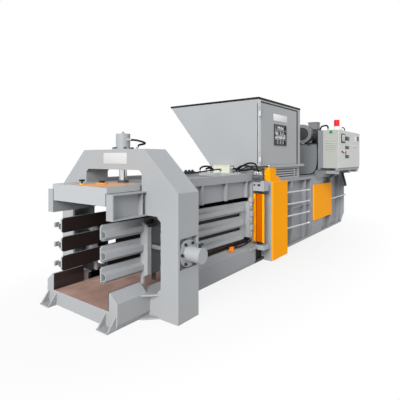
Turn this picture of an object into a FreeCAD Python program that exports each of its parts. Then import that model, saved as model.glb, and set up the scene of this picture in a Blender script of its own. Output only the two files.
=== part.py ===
import FreeCAD, Part
import Sketcher
import math
import os
import re

# Horizontal automatic recycling baler.
# Frame: +X runs from the bale exit to the tail, -Y is the operator's side, +Z is up.
# The origin is on the floor under the middle of the exit portal.
# All sizes are millimetres.

Vector = FreeCAD.Vector
Rotation = FreeCAD.Rotation
Placement = FreeCAD.Placement

RIGHT = -1
LEFT = 1
SIDES = {"right": RIGHT, "left": LEFT}

SIZES = {
    # exit portal
    "portal_depth": 372,
    "portal_half": 1135,
    "portal_top": 1985,
    "shoulder_half": 600,
    "shoulder_z": 1475,
    "portal_plate": 30,
    "portal_skin": 25,
    "exit_half": 867,
    "exit_sill": 290,
    "exit_top": 1187,
    "exit_chamfer": 62,
    "press_gate_half": 552,
    "press_gate_top": 1725,
    "press_gate_chamfer": 45,
    "recess_low": 605,
    "recess_high": 958,
    "recess_depth": 60,
    # bale channel and its floor
    "channel_half": 550,
    "floor_z": 177,
    "floor_thick": 12,
    "foot_half": 666,
    "web_half": 695,
    "toe_rise": 65,
    "bearer_first": -560,
    "bearer_pitch": 1130,
    "bearer_width": 120,
    "bearer_count": 8,
    # exit chute
    "chute_length": 493,
    "wall_top": 385,
    "wall_lip": 25,
    "wall_end_gap": 51,
    "liner_thick": 12,
    "end_thick": 20,
    "shelf_thick": 20,
    "flare_length": 151,
    "flare_half": 850,
    "foot_reach": 120,
    "foot_inner": 480,
    "foot_outer": 670,
    "foot_plate": 15,
    "gusset_rise": 140,
    "gusset_thick": 20,
    "knee_height": 300,
    "knee_lip": 417,
    "knee_half": 600,
    # fixed upper part of the chamber
    "panel_half": 560,
    "panel_thick": 25,
    "panel_low": 1190,
    "beam_low": 1469,
    "beam_top": 1590,
    "beam_inner": 530,
    "beam_half": 645,
    "chamber_rib_pitch": 640,
    "chamber_rib_first": 280,
    "chamber_rib_count": 4,
    "rib_thick": 30,
    # press plate on top of the channel
    "press_front": 700,
    "press_low": 1336,
    "press_high": 1545,
    "press_half": 515,
    "press_lip_half": 540,
    "press_lip_low": 1480,
    "press_hinge_x": 2250,
    "press_hinge_z": 1430,
    "press_pin": 35,
    "rail_beam_low": 1180,
    "rail_beam_top": 1474,
    "rail_beam_half": 640,
    "rail_web_half": 560,
    "rail_skin": 16,
    "stay_gap": 62,
    "lip_gap": 12,
    "knob_one_x": -564,
    "knob_one_y": 109,
    "knob_two_x": -300,
    "knob_two_y": 60,
    "knob_seat": 26,
    "knob_base": 14,
    "knob_stem": 26,
    "knob_bar": 11,
    "knob_reach": 36,
    # squeezing side arms
    "arm_hinge_x": 2330,
    "arm_hinge_half": 640,
    "arm_tip_x": 679,
    "arm_angle": 3.33,
    "rail_pitch": 240,
    "rail_low": 927,
    "rail_height": 186,
    "rail_plate": 30,
    "rail_count": 3,
    "hat_base": 110,
    "hat_crown": 62,
    "hat_depth": 65,
    "hat_wall": 9,
    "hat_drop": 18,
    "link_x": 106,
    "link_half": 132,
    "link_low": 310,
    "link_knee": 438,
    "link_shoulder": 36,
    "link_high": 1090,
    "link_chamfer": 75,
    "link_foot": 55,
    "link_plate": 26,
    "root_start": 215,
    "rail_crop": 22,
    "hat_setback": 14,
    "arm_flange": 22,
    "flange_reach": 48,
    "flange_slack": 15,
    "lug_reach": 55,
    "foot_lug": 40,
    "knuckle_height": 92,
    "knuckle_radius": 40,
    "arm_pin": 25,
    "pin_slack": 0.05,
    # side and top cylinders
    "side_ram_z": 773,
    "side_barrel": 90,
    "side_barrel_end": 1340,
    "side_flange": 155,
    "side_flange_thick": 60,
    "side_bolt_circle": 128,
    "bolt_radius": 17,
    "bolt_head": 20,
    "side_gland": 62,
    "side_gland_reach": 90,
    "side_rod": 45,
    "rod_gap": 3,
    "side_rod_gap": 4,
    "link_reach": 576.5,
    "side_stroke": 150,
    "top_stroke": 120,
    "top_flange_thick": 12,
    "eye_radius": 22,
    "eye_thick": 12,
    "hose_radius": 13,
    "cable_radius": 24,
    "port_reach": 24,
    "port_inset": 42,
    "port_radius": 19,
    "port_rise": 30,
    "top_port_z": 2112,
    "top_barrel": 95,
    "top_barrel_top": 2197,
    "top_bolt_circle": 131,
    "top_gland": 70,
    "top_rod": 52,
    "top_boss": 75,
    "top_boss_height": 30,
    # feed section behind the tying bay
    "bay_x": 2420,
    "feed_x": 2604,
    "feed_length": 1962,
    "side_half": 640,
    "side_top": 1440,
    "rib_half": 735,
    "rib_knee": 290,
    "flange_height": 55,
    "rib_one": 3930,
    "rib_two": 4690,
    "rib_three": 5060,
    "rib_four": 7250,
    "rib_five": 6470,
    "column_x": 5120,
    "column_length": 780,
    "stringer_z": 790,
    "stringer_height": 32,
    "stringer_half": 690,
    "tail_x": 7688,
    "tail_plate": 25,
    "tail_half": 756,
    "tail_foot_half": 671,
    "tail_foot": 40,
    "seat_gap": 0.3,
    "cover_thick": 15,
    # tying unit
    "tie_x": 2440,
    "tie_length": 180,
    "tie_half": 850,
    "tie_top_low": 1290,
    "tie_top_high": 1466,
    "tie_base_low": 256,
    "tie_base_high": 335,
    "tie_arm_length": 240,
    "twist_x": 2540,
    "twist_half": 720,
    "twist_shaft": 28,
    "twist_collar": 55,
    "twist_collar_height": 36,
    "twist_motor": 70,
    "twist_case": 50,
    "twist_disc": 16,
    "tie_plate": 12,
    "tie_slot_height": 36,
    "slot_rise": 86,
    "slot_length": 60,
    "trough_setback": 10,
    "trough_depth": 46,
    "trough_lip": 40,
    "trough_low": 388,
    "trough_high": 1236,
    "sheet_thick": 6,
    # guard boxes
    "guard_x": 2750,
    "guard_length": 642,
    "guard_half": 872,
    "guard_top": 1437,
    "guard_door_bottom": 12,
    "guard_fold": 22,
    "tongue_height": 90,
    "tongue_length": 200,
    "top_guard_length": 250,
    "top_guard_in": 703,
    "top_guard_out": 813,
    "top_guard_top": 1685,
    "side_panel_length": 1320,
    "side_panel_low": 387,
    "side_panel_high": 1230,
    "panel_shift": 60,
    "panel_fold": 25,
    # cable box on the bridge
    "junction_x": 2450,
    "junction_length": 120,
    "junction_near": 136,
    "junction_far": 229,
    "junction_height": 132,
    # wire guide tubes
    "wire_pitch": 239,
    "wire_low": 466,
    "wire_count": 4,
    "wire_tube": 15,
    "wire_end_x": 4474,
    "wire_start_half": 770,
    "wire_end_half": 900,
    "wire_cap": 23,
    "wire_cap_length": 50,
    "wire_seat": 2.2,
    "tail_tube_z": 800,
    # hopper
    "collar_top": 1690,
    "hopper_rail_top": 1740,
    "hopper_top": 2960,
    "hopper_near": 660,
    "hopper_far_low": 421,
    "hopper_far_high": 1453,
    "hopper_sheet": 8,
    "hopper_post": 174,
    "corner_post": 86,
    "rear_post": 141,
    "head_strip": 45,
    "seal_width": 56,
    "seal_height": 22,
    "seal_depth": 20,
    "leaf_gap": 0.5,
    "door_hinge_x": 2621,
    "door_hinge_half": 680,
    "door_pin": 7,
    "strap_reach": 60,
    "rim_width": 24,
    "rim_height": 16,
    "door_gap": 4,
    "door_fold": 34,
    "window_x": 633,
    "window_length": 567,
    "window_z": 2120,
    "window_height": 415,
    "mesh_bar": 11,
    "mesh_frame": 30,
    "mesh_columns": 4,
    "mesh_rows": 4,
    "door_hinge_radius": 16,
    "door_hinge_length": 180,
    "door_hinge_low": 1800,
    "door_hinge_drop": 330,
    "grille_slots": 4,
    "grille_pitch": 48,
    "grille_slot": 22,
    "grille_low": 1482,
    "grille_margin": 96,
    "grille_post": 276,
    # ram and main cylinder
    "ram_face": 4600,
    "ram_length": 760,
    "ram_slack": 5,
    "ram_top": 1320,
    "ram_skin": 40,
    "main_z": 720,
    "main_rod": 90,
    "main_barrel": 160,
    "main_barrel_x": 5480,
    "main_cap": 210,
    "main_cap_length": 60,
    # tank, motor and pump
    "tank_x": 5750,
    "tank_length": 1250,
    "tank_near": 640,
    "tank_far": 260,
    "tank_top": 2205,
    "motor_y": -272,
    "motor_z": 2488,
    "motor_radius": 238,
    "motor_x": 5800,
    "motor_length": 620,
    "motor_fins": 28,
    "fin_height": 26,
    "fin_thick": 7,
    "cowl_length": 110,
    "bell_length": 140,
    "foot_length": 60,
    "motor_rail": 40,
    "rail_width": 70,
    "terminal_x": 5960,
    "terminal_length": 220,
    "terminal_near": 560,
    "terminal_far": 330,
    "terminal_top": 2780,
    "tank_lid": 12,
    "filler_radius": 40,
    "cooler_x": 6050,
    "cooler_length": 150,
    "cooler_width": 120,
    "cooler_top": 2551,
    # control cabinet
    "cabinet_x": 5472,
    "cabinet_length": 1924,
    "cabinet_low": 1628,
    "cabinet_top": 2540,
    "cabinet_back": 876,
    "cabinet_front": 1250,
    "cabinet_door": 28,
    "duct_back": 754,
    "duct_length": 1500,
    "stand_low": 1490,
    "stand_bar": 60,
    "stand_shift": 380,
    "stand_edge": 20,
    "module_pitch": 170,
    "module_depth": 110,
    "louvre_z": 2040,
    "louvre_pitch": 46,
    "louvre_depth": 10,
    "louvre_in": 936,
    "louvre_out": 1180,
    "beacon_x": 5560,
    "beacon_y": 1172,
    "beacon_radius": 62,
    "beacon_foot": 84,
    "beacon_height": 150,
    "bezel": 10,
    "meter_x": 5660,
    "meter_length": 280,
    "meter_z": 2252,
    "meter_height": 190,
    "display_x": 6000,
    "display_length": 300,
    "display_z": 2320,
    "display_height": 66,
    "lock_x": 6880,
    "lock_z": 2175,
    "lock_radius": 16,
    "stop_x": 5940,
    "stop_z": 2008,
    "stop_radius": 32,
    "stop_head": 18,
    "push_x": 5800,
    "push_z": 2008,
    "push_radius": 18,
    "control_stem": 8,
    "dial_x": 5690,
    "dial_z": 2020,
    "handle_x": 7150,
    "handle_z": 2420,
    "handle_length": 90,
}

doc = FreeCAD.newDocument("Baler")
sheet = doc.addObject("Spreadsheet::Sheet", "Sizes")
for row, (alias, value) in enumerate(SIZES.items(), start=1):
    sheet.set(f"A{row}", alias)
    sheet.set(f"B{row}", str(value))
    sheet.setAlias(f"B{row}", alias)
doc.recompute()

nodes = {}


def size(alias):
    """Value of one cell, for shapes that are worked out here."""
    return float(sheet.get(alias))


def sized(text):
    """Expression text with each alias pointing at its cell."""
    def cell(word):
        return "Sizes." + word.group() if word.group() in SIZES else word.group()
    return re.sub(r"[a-z][a-z_]*", cell, text)


def bind(item, prop, text):
    item.setExpression(prop, sized(text))


def place(item, x="0", y="0", z="0", rotation=None):
    """Bind an object's position, with an optional fixed rotation."""
    if rotation is not None:
        item.Placement = Placement(Vector(), rotation)
    for axis, text in (("x", x), ("y", y), ("z", z)):
        bind(item, "Placement.Base." + axis, text)


def span(low, high):
    return f"({high}) - ({low})"


def ordered(side, inner, outer):
    """Low and high Y of a piece that lies between two half widths on one side."""
    if side == LEFT:
        return inner, outer
    return f"-({outer})", f"-({inner})"


def block(name, x, y, z):
    """Box between two stations on each axis."""
    box = doc.addObject("Part::Box", name)
    bind(box, "Length", span(*x))
    bind(box, "Width", span(*y))
    bind(box, "Height", span(*z))
    place(box, x[0], y[0], z[0])
    return box


TURNS = {
    "x": Rotation(Vector(0, 1, 0), 90),
    "y": Rotation(Vector(1, 0, 0), -90),
    "z": Rotation(),
}


HEXAGON = 6
OCTAGON = 8
DODECAGON = 12
NEARLY_ROUND = 24


def rod(name, axis, radius, low, high, x="0", y="0", z="0", sides=0):
    """Cylinder along one axis between two stations, or a bar with that many sides."""
    bar = doc.addObject("Part::Prism" if sides else "Part::Cylinder", name)
    if sides:
        bar.Polygon = sides
    bind(bar, "Circumradius" if sides else "Radius", radius)
    bind(bar, "Height", span(low, high))
    centre = {"x": x, "y": y, "z": z, axis: low}
    place(bar, rotation=TURNS[axis], **centre)
    return bar


PLANES = {"x": "YZ_Plane", "y": "XZ_Plane", "z": "XY_Plane"}


def origin_plane(body, role):
    return [item for item in body.Origin.OriginFeatures if item.Role == role][0]


def draw_loop(sketch, points):
    """Closed outline whose corners are dimensioned from the sketch's origin."""
    first = sketch.GeometryCount
    count = len(points)
    for index in range(count):
        here = 2 * math.pi * index / count
        there = 2 * math.pi * (index + 1) / count
        start = Vector(100 * math.cos(here), 100 * math.sin(here), 0)
        end = Vector(100 * math.cos(there), 100 * math.sin(there), 0)
        sketch.addGeometry(Part.LineSegment(start, end), False)
    for index in range(count):
        line = first + index
        following = first + (index + 1) % count
        sketch.addConstraint(Sketcher.Constraint("Coincident", line, 2, following, 1))
    for index, corner in enumerate(points):
        for kind, text in zip(("DistanceX", "DistanceY"), corner):
            number = sketch.addConstraint(Sketcher.Constraint(kind, -1, 1, first + index, 1, 1.0))
            bind(sketch, f"Constraints[{number}]", text)


def draw_circle(sketch, centre, radius):
    number = sketch.addGeometry(Part.Circle(Vector(1, 1, 0), Vector(0, 0, 1), 5), False)
    for kind, text in zip(("DistanceX", "DistanceY"), centre):
        row = sketch.addConstraint(Sketcher.Constraint(kind, -1, 1, number, 3, 1.0))
        bind(sketch, f"Constraints[{row}]", text)
    row = sketch.addConstraint(Sketcher.Constraint("Radius", number, 5.0))
    bind(sketch, f"Constraints[{row}]", radius)


def prism(name, axis, loops, low, high, circles=()):
    """Pad of closed outlines between two stations on the axis square to them."""
    body = doc.addObject("PartDesign::Body", name)
    sketch = body.newObject("Sketcher::SketchObject", name + "_outline")
    sketch.AttachmentSupport = [(origin_plane(body, PLANES[axis]), "")]
    sketch.MapMode = "FlatFace"
    for loop in loops:
        draw_loop(sketch, loop)
    for centre, radius in circles:
        draw_circle(sketch, centre, radius)
    pad = body.newObject("PartDesign::Pad", name + "_pad")
    pad.Profile = sketch
    pad.Reversed = axis == "y"
    bind(pad, "Length", span(low, high))
    place(body, **{axis: low})
    return body


def fused(name, pieces):
    whole = doc.addObject("Part::MultiFuse", name)
    whole.Shapes = pieces
    whole.Refine = True
    return whole


def cut(name, base, tools):
    tool = tools[0] if len(tools) == 1 else fused(name + "_tools", tools)
    result = doc.addObject("Part::Cut", name)
    result.Base = base
    result.Tool = tool
    result.Refine = True
    return result


def node(label, *pieces):
    """Finish one sub-part: its pieces become one object with its own label."""
    item = pieces[0] if len(pieces) == 1 else fused(label + "_whole", list(pieces))
    item.Label = label
    nodes[label] = item
    return item


def mirrored(points):
    """Whole outline from its +Y half, listed from the bottom up."""
    other = [("-(" + across + ")", up) for across, up in reversed(points)]
    return points + other


def swap(side, points):
    """Outline of one side from the +Y one."""
    if side == LEFT:
        return points
    return [("-(" + across + ")", up) for across, up in points]


PORTAL_FRONT = "-portal_depth / 2"
PORTAL_REAR = "portal_depth / 2"
PORTAL_INSIDE = ("portal_plate - portal_depth / 2", "portal_depth / 2 - portal_plate")
CHUTE_FRONT = "-portal_depth / 2 - chute_length"
FLOOR_LOW = "floor_z - floor_thick"


def portal_outline(inset):
    """Octagonal front of the portal, drawn in by a skin's thickness."""
    return mirrored([
        (f"portal_half - {inset}", inset),
        (f"portal_half - {inset}", f"shoulder_z - {inset} / 2"),
        (f"shoulder_half - {inset} / 2", f"portal_top - {inset}"),
    ])


def portal_opening():
    """Wide exit for the bale and arms, with the press plate's gate above it."""
    return mirrored([
        ("channel_half", FLOOR_LOW),
        ("channel_half", "exit_sill"),
        ("exit_half - exit_chamfer", "exit_sill"),
        ("exit_half", "exit_sill + exit_chamfer"),
        ("exit_half", "exit_top - exit_chamfer"),
        ("exit_half - exit_chamfer", "exit_top"),
        ("press_gate_half", "exit_top"),
        ("press_gate_half", "press_gate_top - press_gate_chamfer"),
        ("press_gate_half - press_gate_chamfer", "press_gate_top"),
    ])


def portal():
    """Two thick plates, the skin that joins them and the side cylinders' seats."""
    face = [portal_outline("0"), portal_opening()]
    front = prism("portal_front", "x", face, PORTAL_FRONT, PORTAL_INSIDE[0])
    rear = prism("portal_back", "x", face, PORTAL_INSIDE[1], PORTAL_REAR)
    skin_loops = [portal_outline("0"), portal_outline("portal_skin")]
    skin = prism("portal_skin", "x", skin_loops, *PORTAL_INSIDE)
    windows = []
    seats = []
    for name, side in SIDES.items():
        reach = ordered(side, "portal_half - 2 * portal_skin", "portal_half + portal_skin")
        windows.append(block(f"recess_{name}", PORTAL_INSIDE, reach, ("recess_low", "recess_high")))
        depth = ordered(side, "portal_half - recess_depth - portal_plate", "portal_half - recess_depth")
        seats.append(block(f"seat_{name}", PORTAL_INSIDE, depth, ("recess_low", "recess_high")))
        for level, low, high in (
            ("low", "recess_low - portal_skin", "recess_low"),
            ("high", "recess_high", "recess_high + portal_skin"),
        ):
            ledge = ordered(side, "portal_half - recess_depth - portal_plate", "portal_half")
            seats.append(block(f"ledge_{level}_{name}", PORTAL_INSIDE, ledge, (low, high)))
        gate = ordered(side, "press_gate_half", "press_gate_half + portal_skin")
        seats.append(block(f"gate_{name}", PORTAL_INSIDE, gate, ("exit_top", "press_gate_top")))
        sill = ordered(side, "channel_half", "exit_half")
        seats.append(block(f"sill_{name}", PORTAL_INSIDE, sill, ("exit_sill - portal_skin", "exit_sill")))
    lintel = block(
        "lintel", PORTAL_INSIDE, ("-press_gate_half - portal_skin", "press_gate_half + portal_skin"),
        ("press_gate_top", "press_gate_top + portal_skin"),
    )
    shell = fused("portal_shell", [front, rear, cut("portal_sides", skin, windows), lintel] + seats)
    bores = [rod("top_bore", "z", "top_gland", "press_gate_top - portal_skin", "portal_top + portal_skin",
                 sides=NEARLY_ROUND)]
    for name, side in SIDES.items():
        low, high = ordered(side, "exit_half", "portal_half")
        bores.append(rod(f"side_bore_{name}", "y", "side_gland", low, high, z="side_ram_z", sides=NEARLY_ROUND))
    node("portal", cut("portal_whole", shell, bores))


def chute_side(name, side):
    """Hollow-sided wall of the chute: toe, web, sloped shoulder and lip."""
    wall = swap(side, [
        ("channel_half", "0"),
        ("foot_half", "0"),
        ("web_half", "toe_rise"),
        ("web_half", "exit_sill"),
        ("channel_half + wall_lip", "wall_top"),
        ("channel_half", "wall_top"),
    ])
    low_wall = wall[:4] + swap(side, [("channel_half", "exit_sill")])
    wall_end = f"{PORTAL_FRONT} - wall_end_gap"
    corner = swap(side, [("web_half", f"{PORTAL_FRONT} - flare_length")])
    flare = [
        (f"{PORTAL_FRONT} - flare_length", corner[0][0]),
        (PORTAL_FRONT, corner[0][0]),
        (PORTAL_FRONT, swap(side, [("flare_half", "0")])[0][0]),
    ]
    inner = swap(side, [("foot_half", "0")])[0][0]
    toe = [flare[0], (flare[0][0], inner), (PORTAL_FRONT, inner), flare[2]]
    return [
        prism(f"chute_wall_{name}", "x", [wall], CHUTE_FRONT, wall_end),
        prism(f"chute_step_{name}", "x", [low_wall], wall_end, PORTAL_FRONT),
        prism(f"chute_shelf_{name}", "z", [flare], "exit_sill - shelf_thick", "exit_sill"),
        prism(f"chute_toe_{name}", "z", [toe], "0", "shelf_thick"),
    ]


def chute_foot(name, side):
    """Base plate and two gussets at a front corner."""
    plate = block(
        f"foot_plate_{name}", (f"{CHUTE_FRONT} - foot_reach", CHUTE_FRONT),
        ordered(side, "foot_inner", "foot_outer"), ("0", "foot_plate"),
    )
    pieces = [plate]
    gusset = [
        (CHUTE_FRONT, "foot_plate"),
        (f"{CHUTE_FRONT} - foot_reach + foot_plate", "foot_plate"),
        (CHUTE_FRONT, "foot_plate + gusset_rise"),
    ]
    for place_name, inner in (("inner", "foot_inner"), ("outer", "foot_outer - gusset_thick")):
        reach = ordered(side, inner, f"{inner} + gusset_thick")
        pieces.append(prism(f"gusset_{place_name}_{name}", "y", [gusset], *reach))
    return pieces


def chute():
    """Exit chute in front of the portal, with its feet; the bale slides out over it."""
    liners = []
    for name, side in SIDES.items():
        node(f"chute_{name}", *chute_side(name, side), *chute_foot(name, side))
        liners.append(block(
            f"liner_{name}", (CHUTE_FRONT, f"{PORTAL_FRONT} - wall_end_gap"),
            ordered(side, "channel_half - liner_thick", "channel_half"), ("floor_z", "wall_top"),
        ))
    node("wall_liners", *liners)


def channel_floor():
    """Floor plate of the channel, with the front bar and cross members that carry it."""
    across = ("-channel_half", "channel_half")
    floor = block("floor_sheet", (CHUTE_FRONT, "tail_x - tail_plate"), across, (FLOOR_LOW, "floor_z"))
    node("channel_floor", floor)
    bearers = [block("chute_lip", (CHUTE_FRONT, f"{CHUTE_FRONT} + end_thick"), across, ("0", FLOOR_LOW))]
    for index in range(SIZES["bearer_count"]):
        start = f"bearer_first + {index} * bearer_pitch"
        bearers.append(block(f"bearer_{index}", (start, f"{start} + bearer_width"), across, ("0", FLOOR_LOW)))
    node("floor_bearers", *bearers)


def chamber_side(name, side):
    """Fixed base and fixed upper wall of the chamber; the arm's rails lie between."""
    base = swap(side, [
        ("channel_half", "0"),
        ("foot_half", "0"),
        ("web_half", "toe_rise"),
        ("web_half", "knee_height"),
        ("knee_half", "knee_lip"),
        ("channel_half", "knee_lip"),
    ])
    node(f"chamber_base_{name}", prism(f"base_{name}", "x", [base], PORTAL_REAR, "bay_x"))
    along = (PORTAL_REAR, "arm_hinge_x + lug_reach")
    panel = ordered(side, "panel_half", "panel_half + panel_thick")
    pieces = [block(f"panel_{name}", along, panel, ("panel_low", "beam_low"))]
    beam = ordered(side, "beam_inner", "beam_half")
    pieces.append(block(f"beam_{name}", along, beam, ("beam_low", "beam_top")))
    for index in range(SIZES["chamber_rib_count"]):
        start = f"chamber_rib_first + {index} * chamber_rib_pitch"
        reach = ordered(side, "panel_half + panel_thick", "beam_half")
        rib = block(f"rib_{name}_{index}", (start, f"{start} + rib_thick"), reach, ("panel_low", "beam_low"))
        pieces.append(rib)
    node(f"chamber_top_{name}", *pieces)


def hinge_post(name, side):
    """Upright with lugs that holds the arm's pin behind the chamber."""
    post = block(
        f"post_{name}", ("arm_hinge_x + lug_reach", "bay_x"),
        ordered(side, "channel_half", "side_half"), ("knee_lip", "side_top"),
    )
    pieces = [post]
    centre_y = f"{side} * arm_hinge_half"
    levels = [("knee_lip", "knee_lip + foot_lug")]
    for index in range(SIZES["rail_count"]):
        middle = f"rail_low + rail_height / 2 - {index} * rail_pitch + rail_pitch / 2"
        levels.append((f"{middle} - knuckle_height / 2", f"{middle} + knuckle_height / 2"))
    for index, (low, high) in enumerate(levels):
        arm = block(
            f"lug_arm_{name}_{index}", ("arm_hinge_x", "arm_hinge_x + lug_reach"),
            (f"{centre_y} - knuckle_radius", f"{centre_y} + knuckle_radius"), (low, high),
        )
        eye = rod(f"lug_eye_{name}_{index}", "z", "knuckle_radius", low, high, "arm_hinge_x", centre_y,
                  sides=DODECAGON)
        pieces += [arm, eye]
    pin = rod(f"arm_pin_{name}", "z", "arm_pin", "knee_lip", f"{levels[1][1]}", "arm_hinge_x", centre_y)
    return pieces + [pin]


def arm_band(side, outer, inner):
    """Low and high Y, from the hinge line towards the channel, in the arm's own frame."""
    if side == RIGHT:
        return outer, inner
    return f"-({inner})", f"-({outer})"


ARM_INNER = "arm_hinge_half - channel_half"
RAIL_OUTER = "arm_hinge_half - channel_half - rail_plate"
LINK_OUTER = "arm_hinge_half - channel_half - rail_plate - link_half"
ARM_TIP = "-arm_hinge_x - arm_tip_x"


def arm_points(side, points):
    """Outline in the arm's frame from the right arm's one."""
    if side == RIGHT:
        return points
    return [("-(" + across + ")", up) for across, up in points]


def arm_rail(name, side, index):
    """One rail: a flat bar with cropped front corners and a hat section along it."""
    low = f"rail_low - {index} * rail_pitch"
    high = f"rail_low + rail_height - {index} * rail_pitch"
    bar = [
        (ARM_TIP, f"{low} + rail_crop"),
        (f"{ARM_TIP} + rail_crop", low),
        ("-root_start", low),
        ("-root_start", high),
        (f"{ARM_TIP} + rail_crop", high),
        (ARM_TIP, f"{high} - rail_crop"),
    ]
    flat = prism(f"rail_{name}_{index}", "y", [bar], *arm_band(side, RAIL_OUTER, ARM_INNER))
    middle = f"{low} + rail_height / 2 - hat_drop"
    crown = f"{RAIL_OUTER} - hat_depth"
    profile = arm_points(side, [
        (RAIL_OUTER, f"{middle} - hat_base / 2"),
        (crown, f"{middle} - hat_crown / 2"),
        (crown, f"{middle} + hat_crown / 2"),
        (RAIL_OUTER, f"{middle} + hat_base / 2"),
        (RAIL_OUTER, f"{middle} + hat_base / 2 - hat_wall * 1.3"),
        (f"{crown} + hat_wall", f"{middle} + hat_crown / 2 - hat_wall * 0.6"),
        (f"{crown} + hat_wall", f"{middle} - hat_crown / 2 + hat_wall * 0.6"),
        (RAIL_OUTER, f"{middle} - hat_base / 2 + hat_wall * 1.3"),
    ])
    hat = prism(f"hat_{name}_{index}", "x", [profile], f"{ARM_TIP} + hat_setback", "-root_start")
    return [flat, hat]


def arm_link(name, side):
    """Push frame at the portal: two upright plates and the face that the rod meets."""
    outline = arm_points(side, [
        (RAIL_OUTER, "link_low"),
        (RAIL_OUTER, "link_high"),
        (f"{RAIL_OUTER} - link_shoulder", "link_high"),
        (LINK_OUTER, "link_high - link_chamfer"),
        (LINK_OUTER, "link_knee"),
        (f"{RAIL_OUTER} - link_foot", "link_knee - link_chamfer / 2"),
        (f"{RAIL_OUTER} - link_foot", "link_low"),
    ])
    front = "-arm_hinge_x - link_x"
    rear = "link_x - arm_hinge_x"
    face = arm_band(side, LINK_OUTER, f"{LINK_OUTER} + link_plate")
    return [
        prism(f"link_front_{name}", "x", [outline], front, f"{front} + link_plate"),
        prism(f"link_rear_{name}", "x", [outline], f"{rear} - link_plate", rear),
        block(f"link_face_{name}", (front, rear), face, ("link_knee", "link_high - link_chamfer")),
    ]


def arm(name, side):
    """Side arm: rails, push frame and hinge, swung in about its upright pin."""
    pieces = arm_link(name, side)
    lowest = f"rail_low - {SIZES['rail_count'] - 1} * rail_pitch"
    top = "rail_low + rail_height"
    band = arm_band(side, RAIL_OUTER, ARM_INNER)
    pieces.append(block(f"root_{name}", ("-root_start", "-flange_reach"), band, (lowest, top)))
    flange = arm_band(side, "-knuckle_radius + flange_slack", ARM_INNER)
    flange_x = ("-flange_reach - arm_flange", "-flange_reach")
    pieces.append(block(f"arm_flange_{name}", flange_x, flange, (lowest, top)))
    for index in range(SIZES["rail_count"]):
        pieces += arm_rail(name, side, index)
        middle = f"rail_low + rail_height / 2 - {index} * rail_pitch"
        level = (f"{middle} - knuckle_height / 2", f"{middle} + knuckle_height / 2")
        half = "knuckle_radius * 0.75"
        pieces.append(block(f"knuckle_arm_{name}_{index}", ("-flange_reach", "0"), (f"-{half}", half), level))
        pieces.append(rod(f"knuckle_{name}_{index}", "z", "knuckle_radius", *level, sides=DODECAGON))
    solid = fused(f"arm_solid_{name}", pieces)
    bore = rod(f"knuckle_bore_{name}", "z", "arm_pin + pin_slack", "0", "beam_low")
    whole = node(f"arm_{name}", cut(f"arm_whole_{name}", solid, [bore]))
    place(whole, "arm_hinge_x", f"{side} * arm_hinge_half", "0", Rotation(Vector(0, 0, 1), 1))
    bind(whole, "Placement.Rotation.Angle", f"{side} * arm_angle")


def press_beam(name, side):
    """Open channel beam from the portal to the chute's front, beside the press plate."""
    channel = swap(side, [
        ("beam_inner", "rail_beam_low"),
        ("rail_beam_half", "rail_beam_low"),
        ("rail_beam_half", "rail_beam_low + rail_skin"),
        ("rail_web_half", "rail_beam_low + rail_skin"),
        ("rail_web_half", "rail_beam_top - rail_skin"),
        ("rail_beam_half", "rail_beam_top - rail_skin"),
        ("rail_beam_half", "rail_beam_top"),
        ("beam_inner", "rail_beam_top"),
    ])
    start = "-press_front"
    across = ordered(side, "beam_inner", "rail_beam_half")
    web = ordered(side, "rail_web_half", "rail_beam_half - rail_skin")
    stay = f"{PORTAL_FRONT} - stay_gap"
    levels = ("rail_beam_low", "rail_beam_top")
    return [
        prism(f"beam_channel_{name}", "x", [channel], f"{start} + rail_skin", PORTAL_FRONT),
        block(f"beam_front_{name}", (start, f"{start} + rail_skin"), across, levels),
        block(f"beam_stay_{name}", (stay, f"{stay} + rail_skin"), web, levels),
    ]


def press_plate():
    """Hinged top plate: a closed box with side lips, a boss for the rod and a rear tube."""
    half = "press_half"
    body_end = "press_hinge_x - press_pin * 2"
    box = [
        ("-press_front", "press_low"),
        (body_end, "press_low"),
        (body_end, "press_high"),
        ("-press_front", "press_high"),
    ]
    pieces = [prism("press_box", "y", [box], f"-{half}", half)]
    lip_x = ("-press_front", f"{PORTAL_FRONT} - lip_gap")
    for name, side in SIDES.items():
        lip = ordered(side, half, "press_lip_half")
        pieces.append(block(f"press_lip_{name}", lip_x, lip, ("press_lip_low", "press_high")))
    tail_levels = ("press_hinge_z - press_pin * 1.5", "press_hinge_z + press_pin * 1.5")
    pieces.append(block("press_tail", (body_end, "press_hinge_x"), (f"-{half}", half), tail_levels))
    pieces.append(rod("press_tube", "y", "press_pin * 1.7", f"-{half}", half, "press_hinge_x", z="press_hinge_z"))
    pieces.append(rod("press_boss", "z", "top_boss", "press_high", "press_high + top_boss_height",
                      sides=NEARLY_ROUND))
    for index, (x, y) in enumerate(KNOBS):
        pieces.append(rod(f"knob_seat_{index}", "z", "knob_seat", "press_high", "press_high + knob_base", x, y))
    bore = rod("press_bore", "y", "press_pin + pin_slack", "-beam_half", "beam_half", "press_hinge_x", z="press_hinge_z")
    node("press_plate", cut("press_whole", fused("press_solid", pieces), [bore]))
    pin = rod("press_pin_bar", "y", "press_pin", "-panel_half", "panel_half", "press_hinge_x", z="press_hinge_z")
    node("press_pin", pin)


BOLTS = 6
KNOBS = (("knob_one_x", "knob_one_y"), ("knob_two_x", "knob_two_y"))


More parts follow.
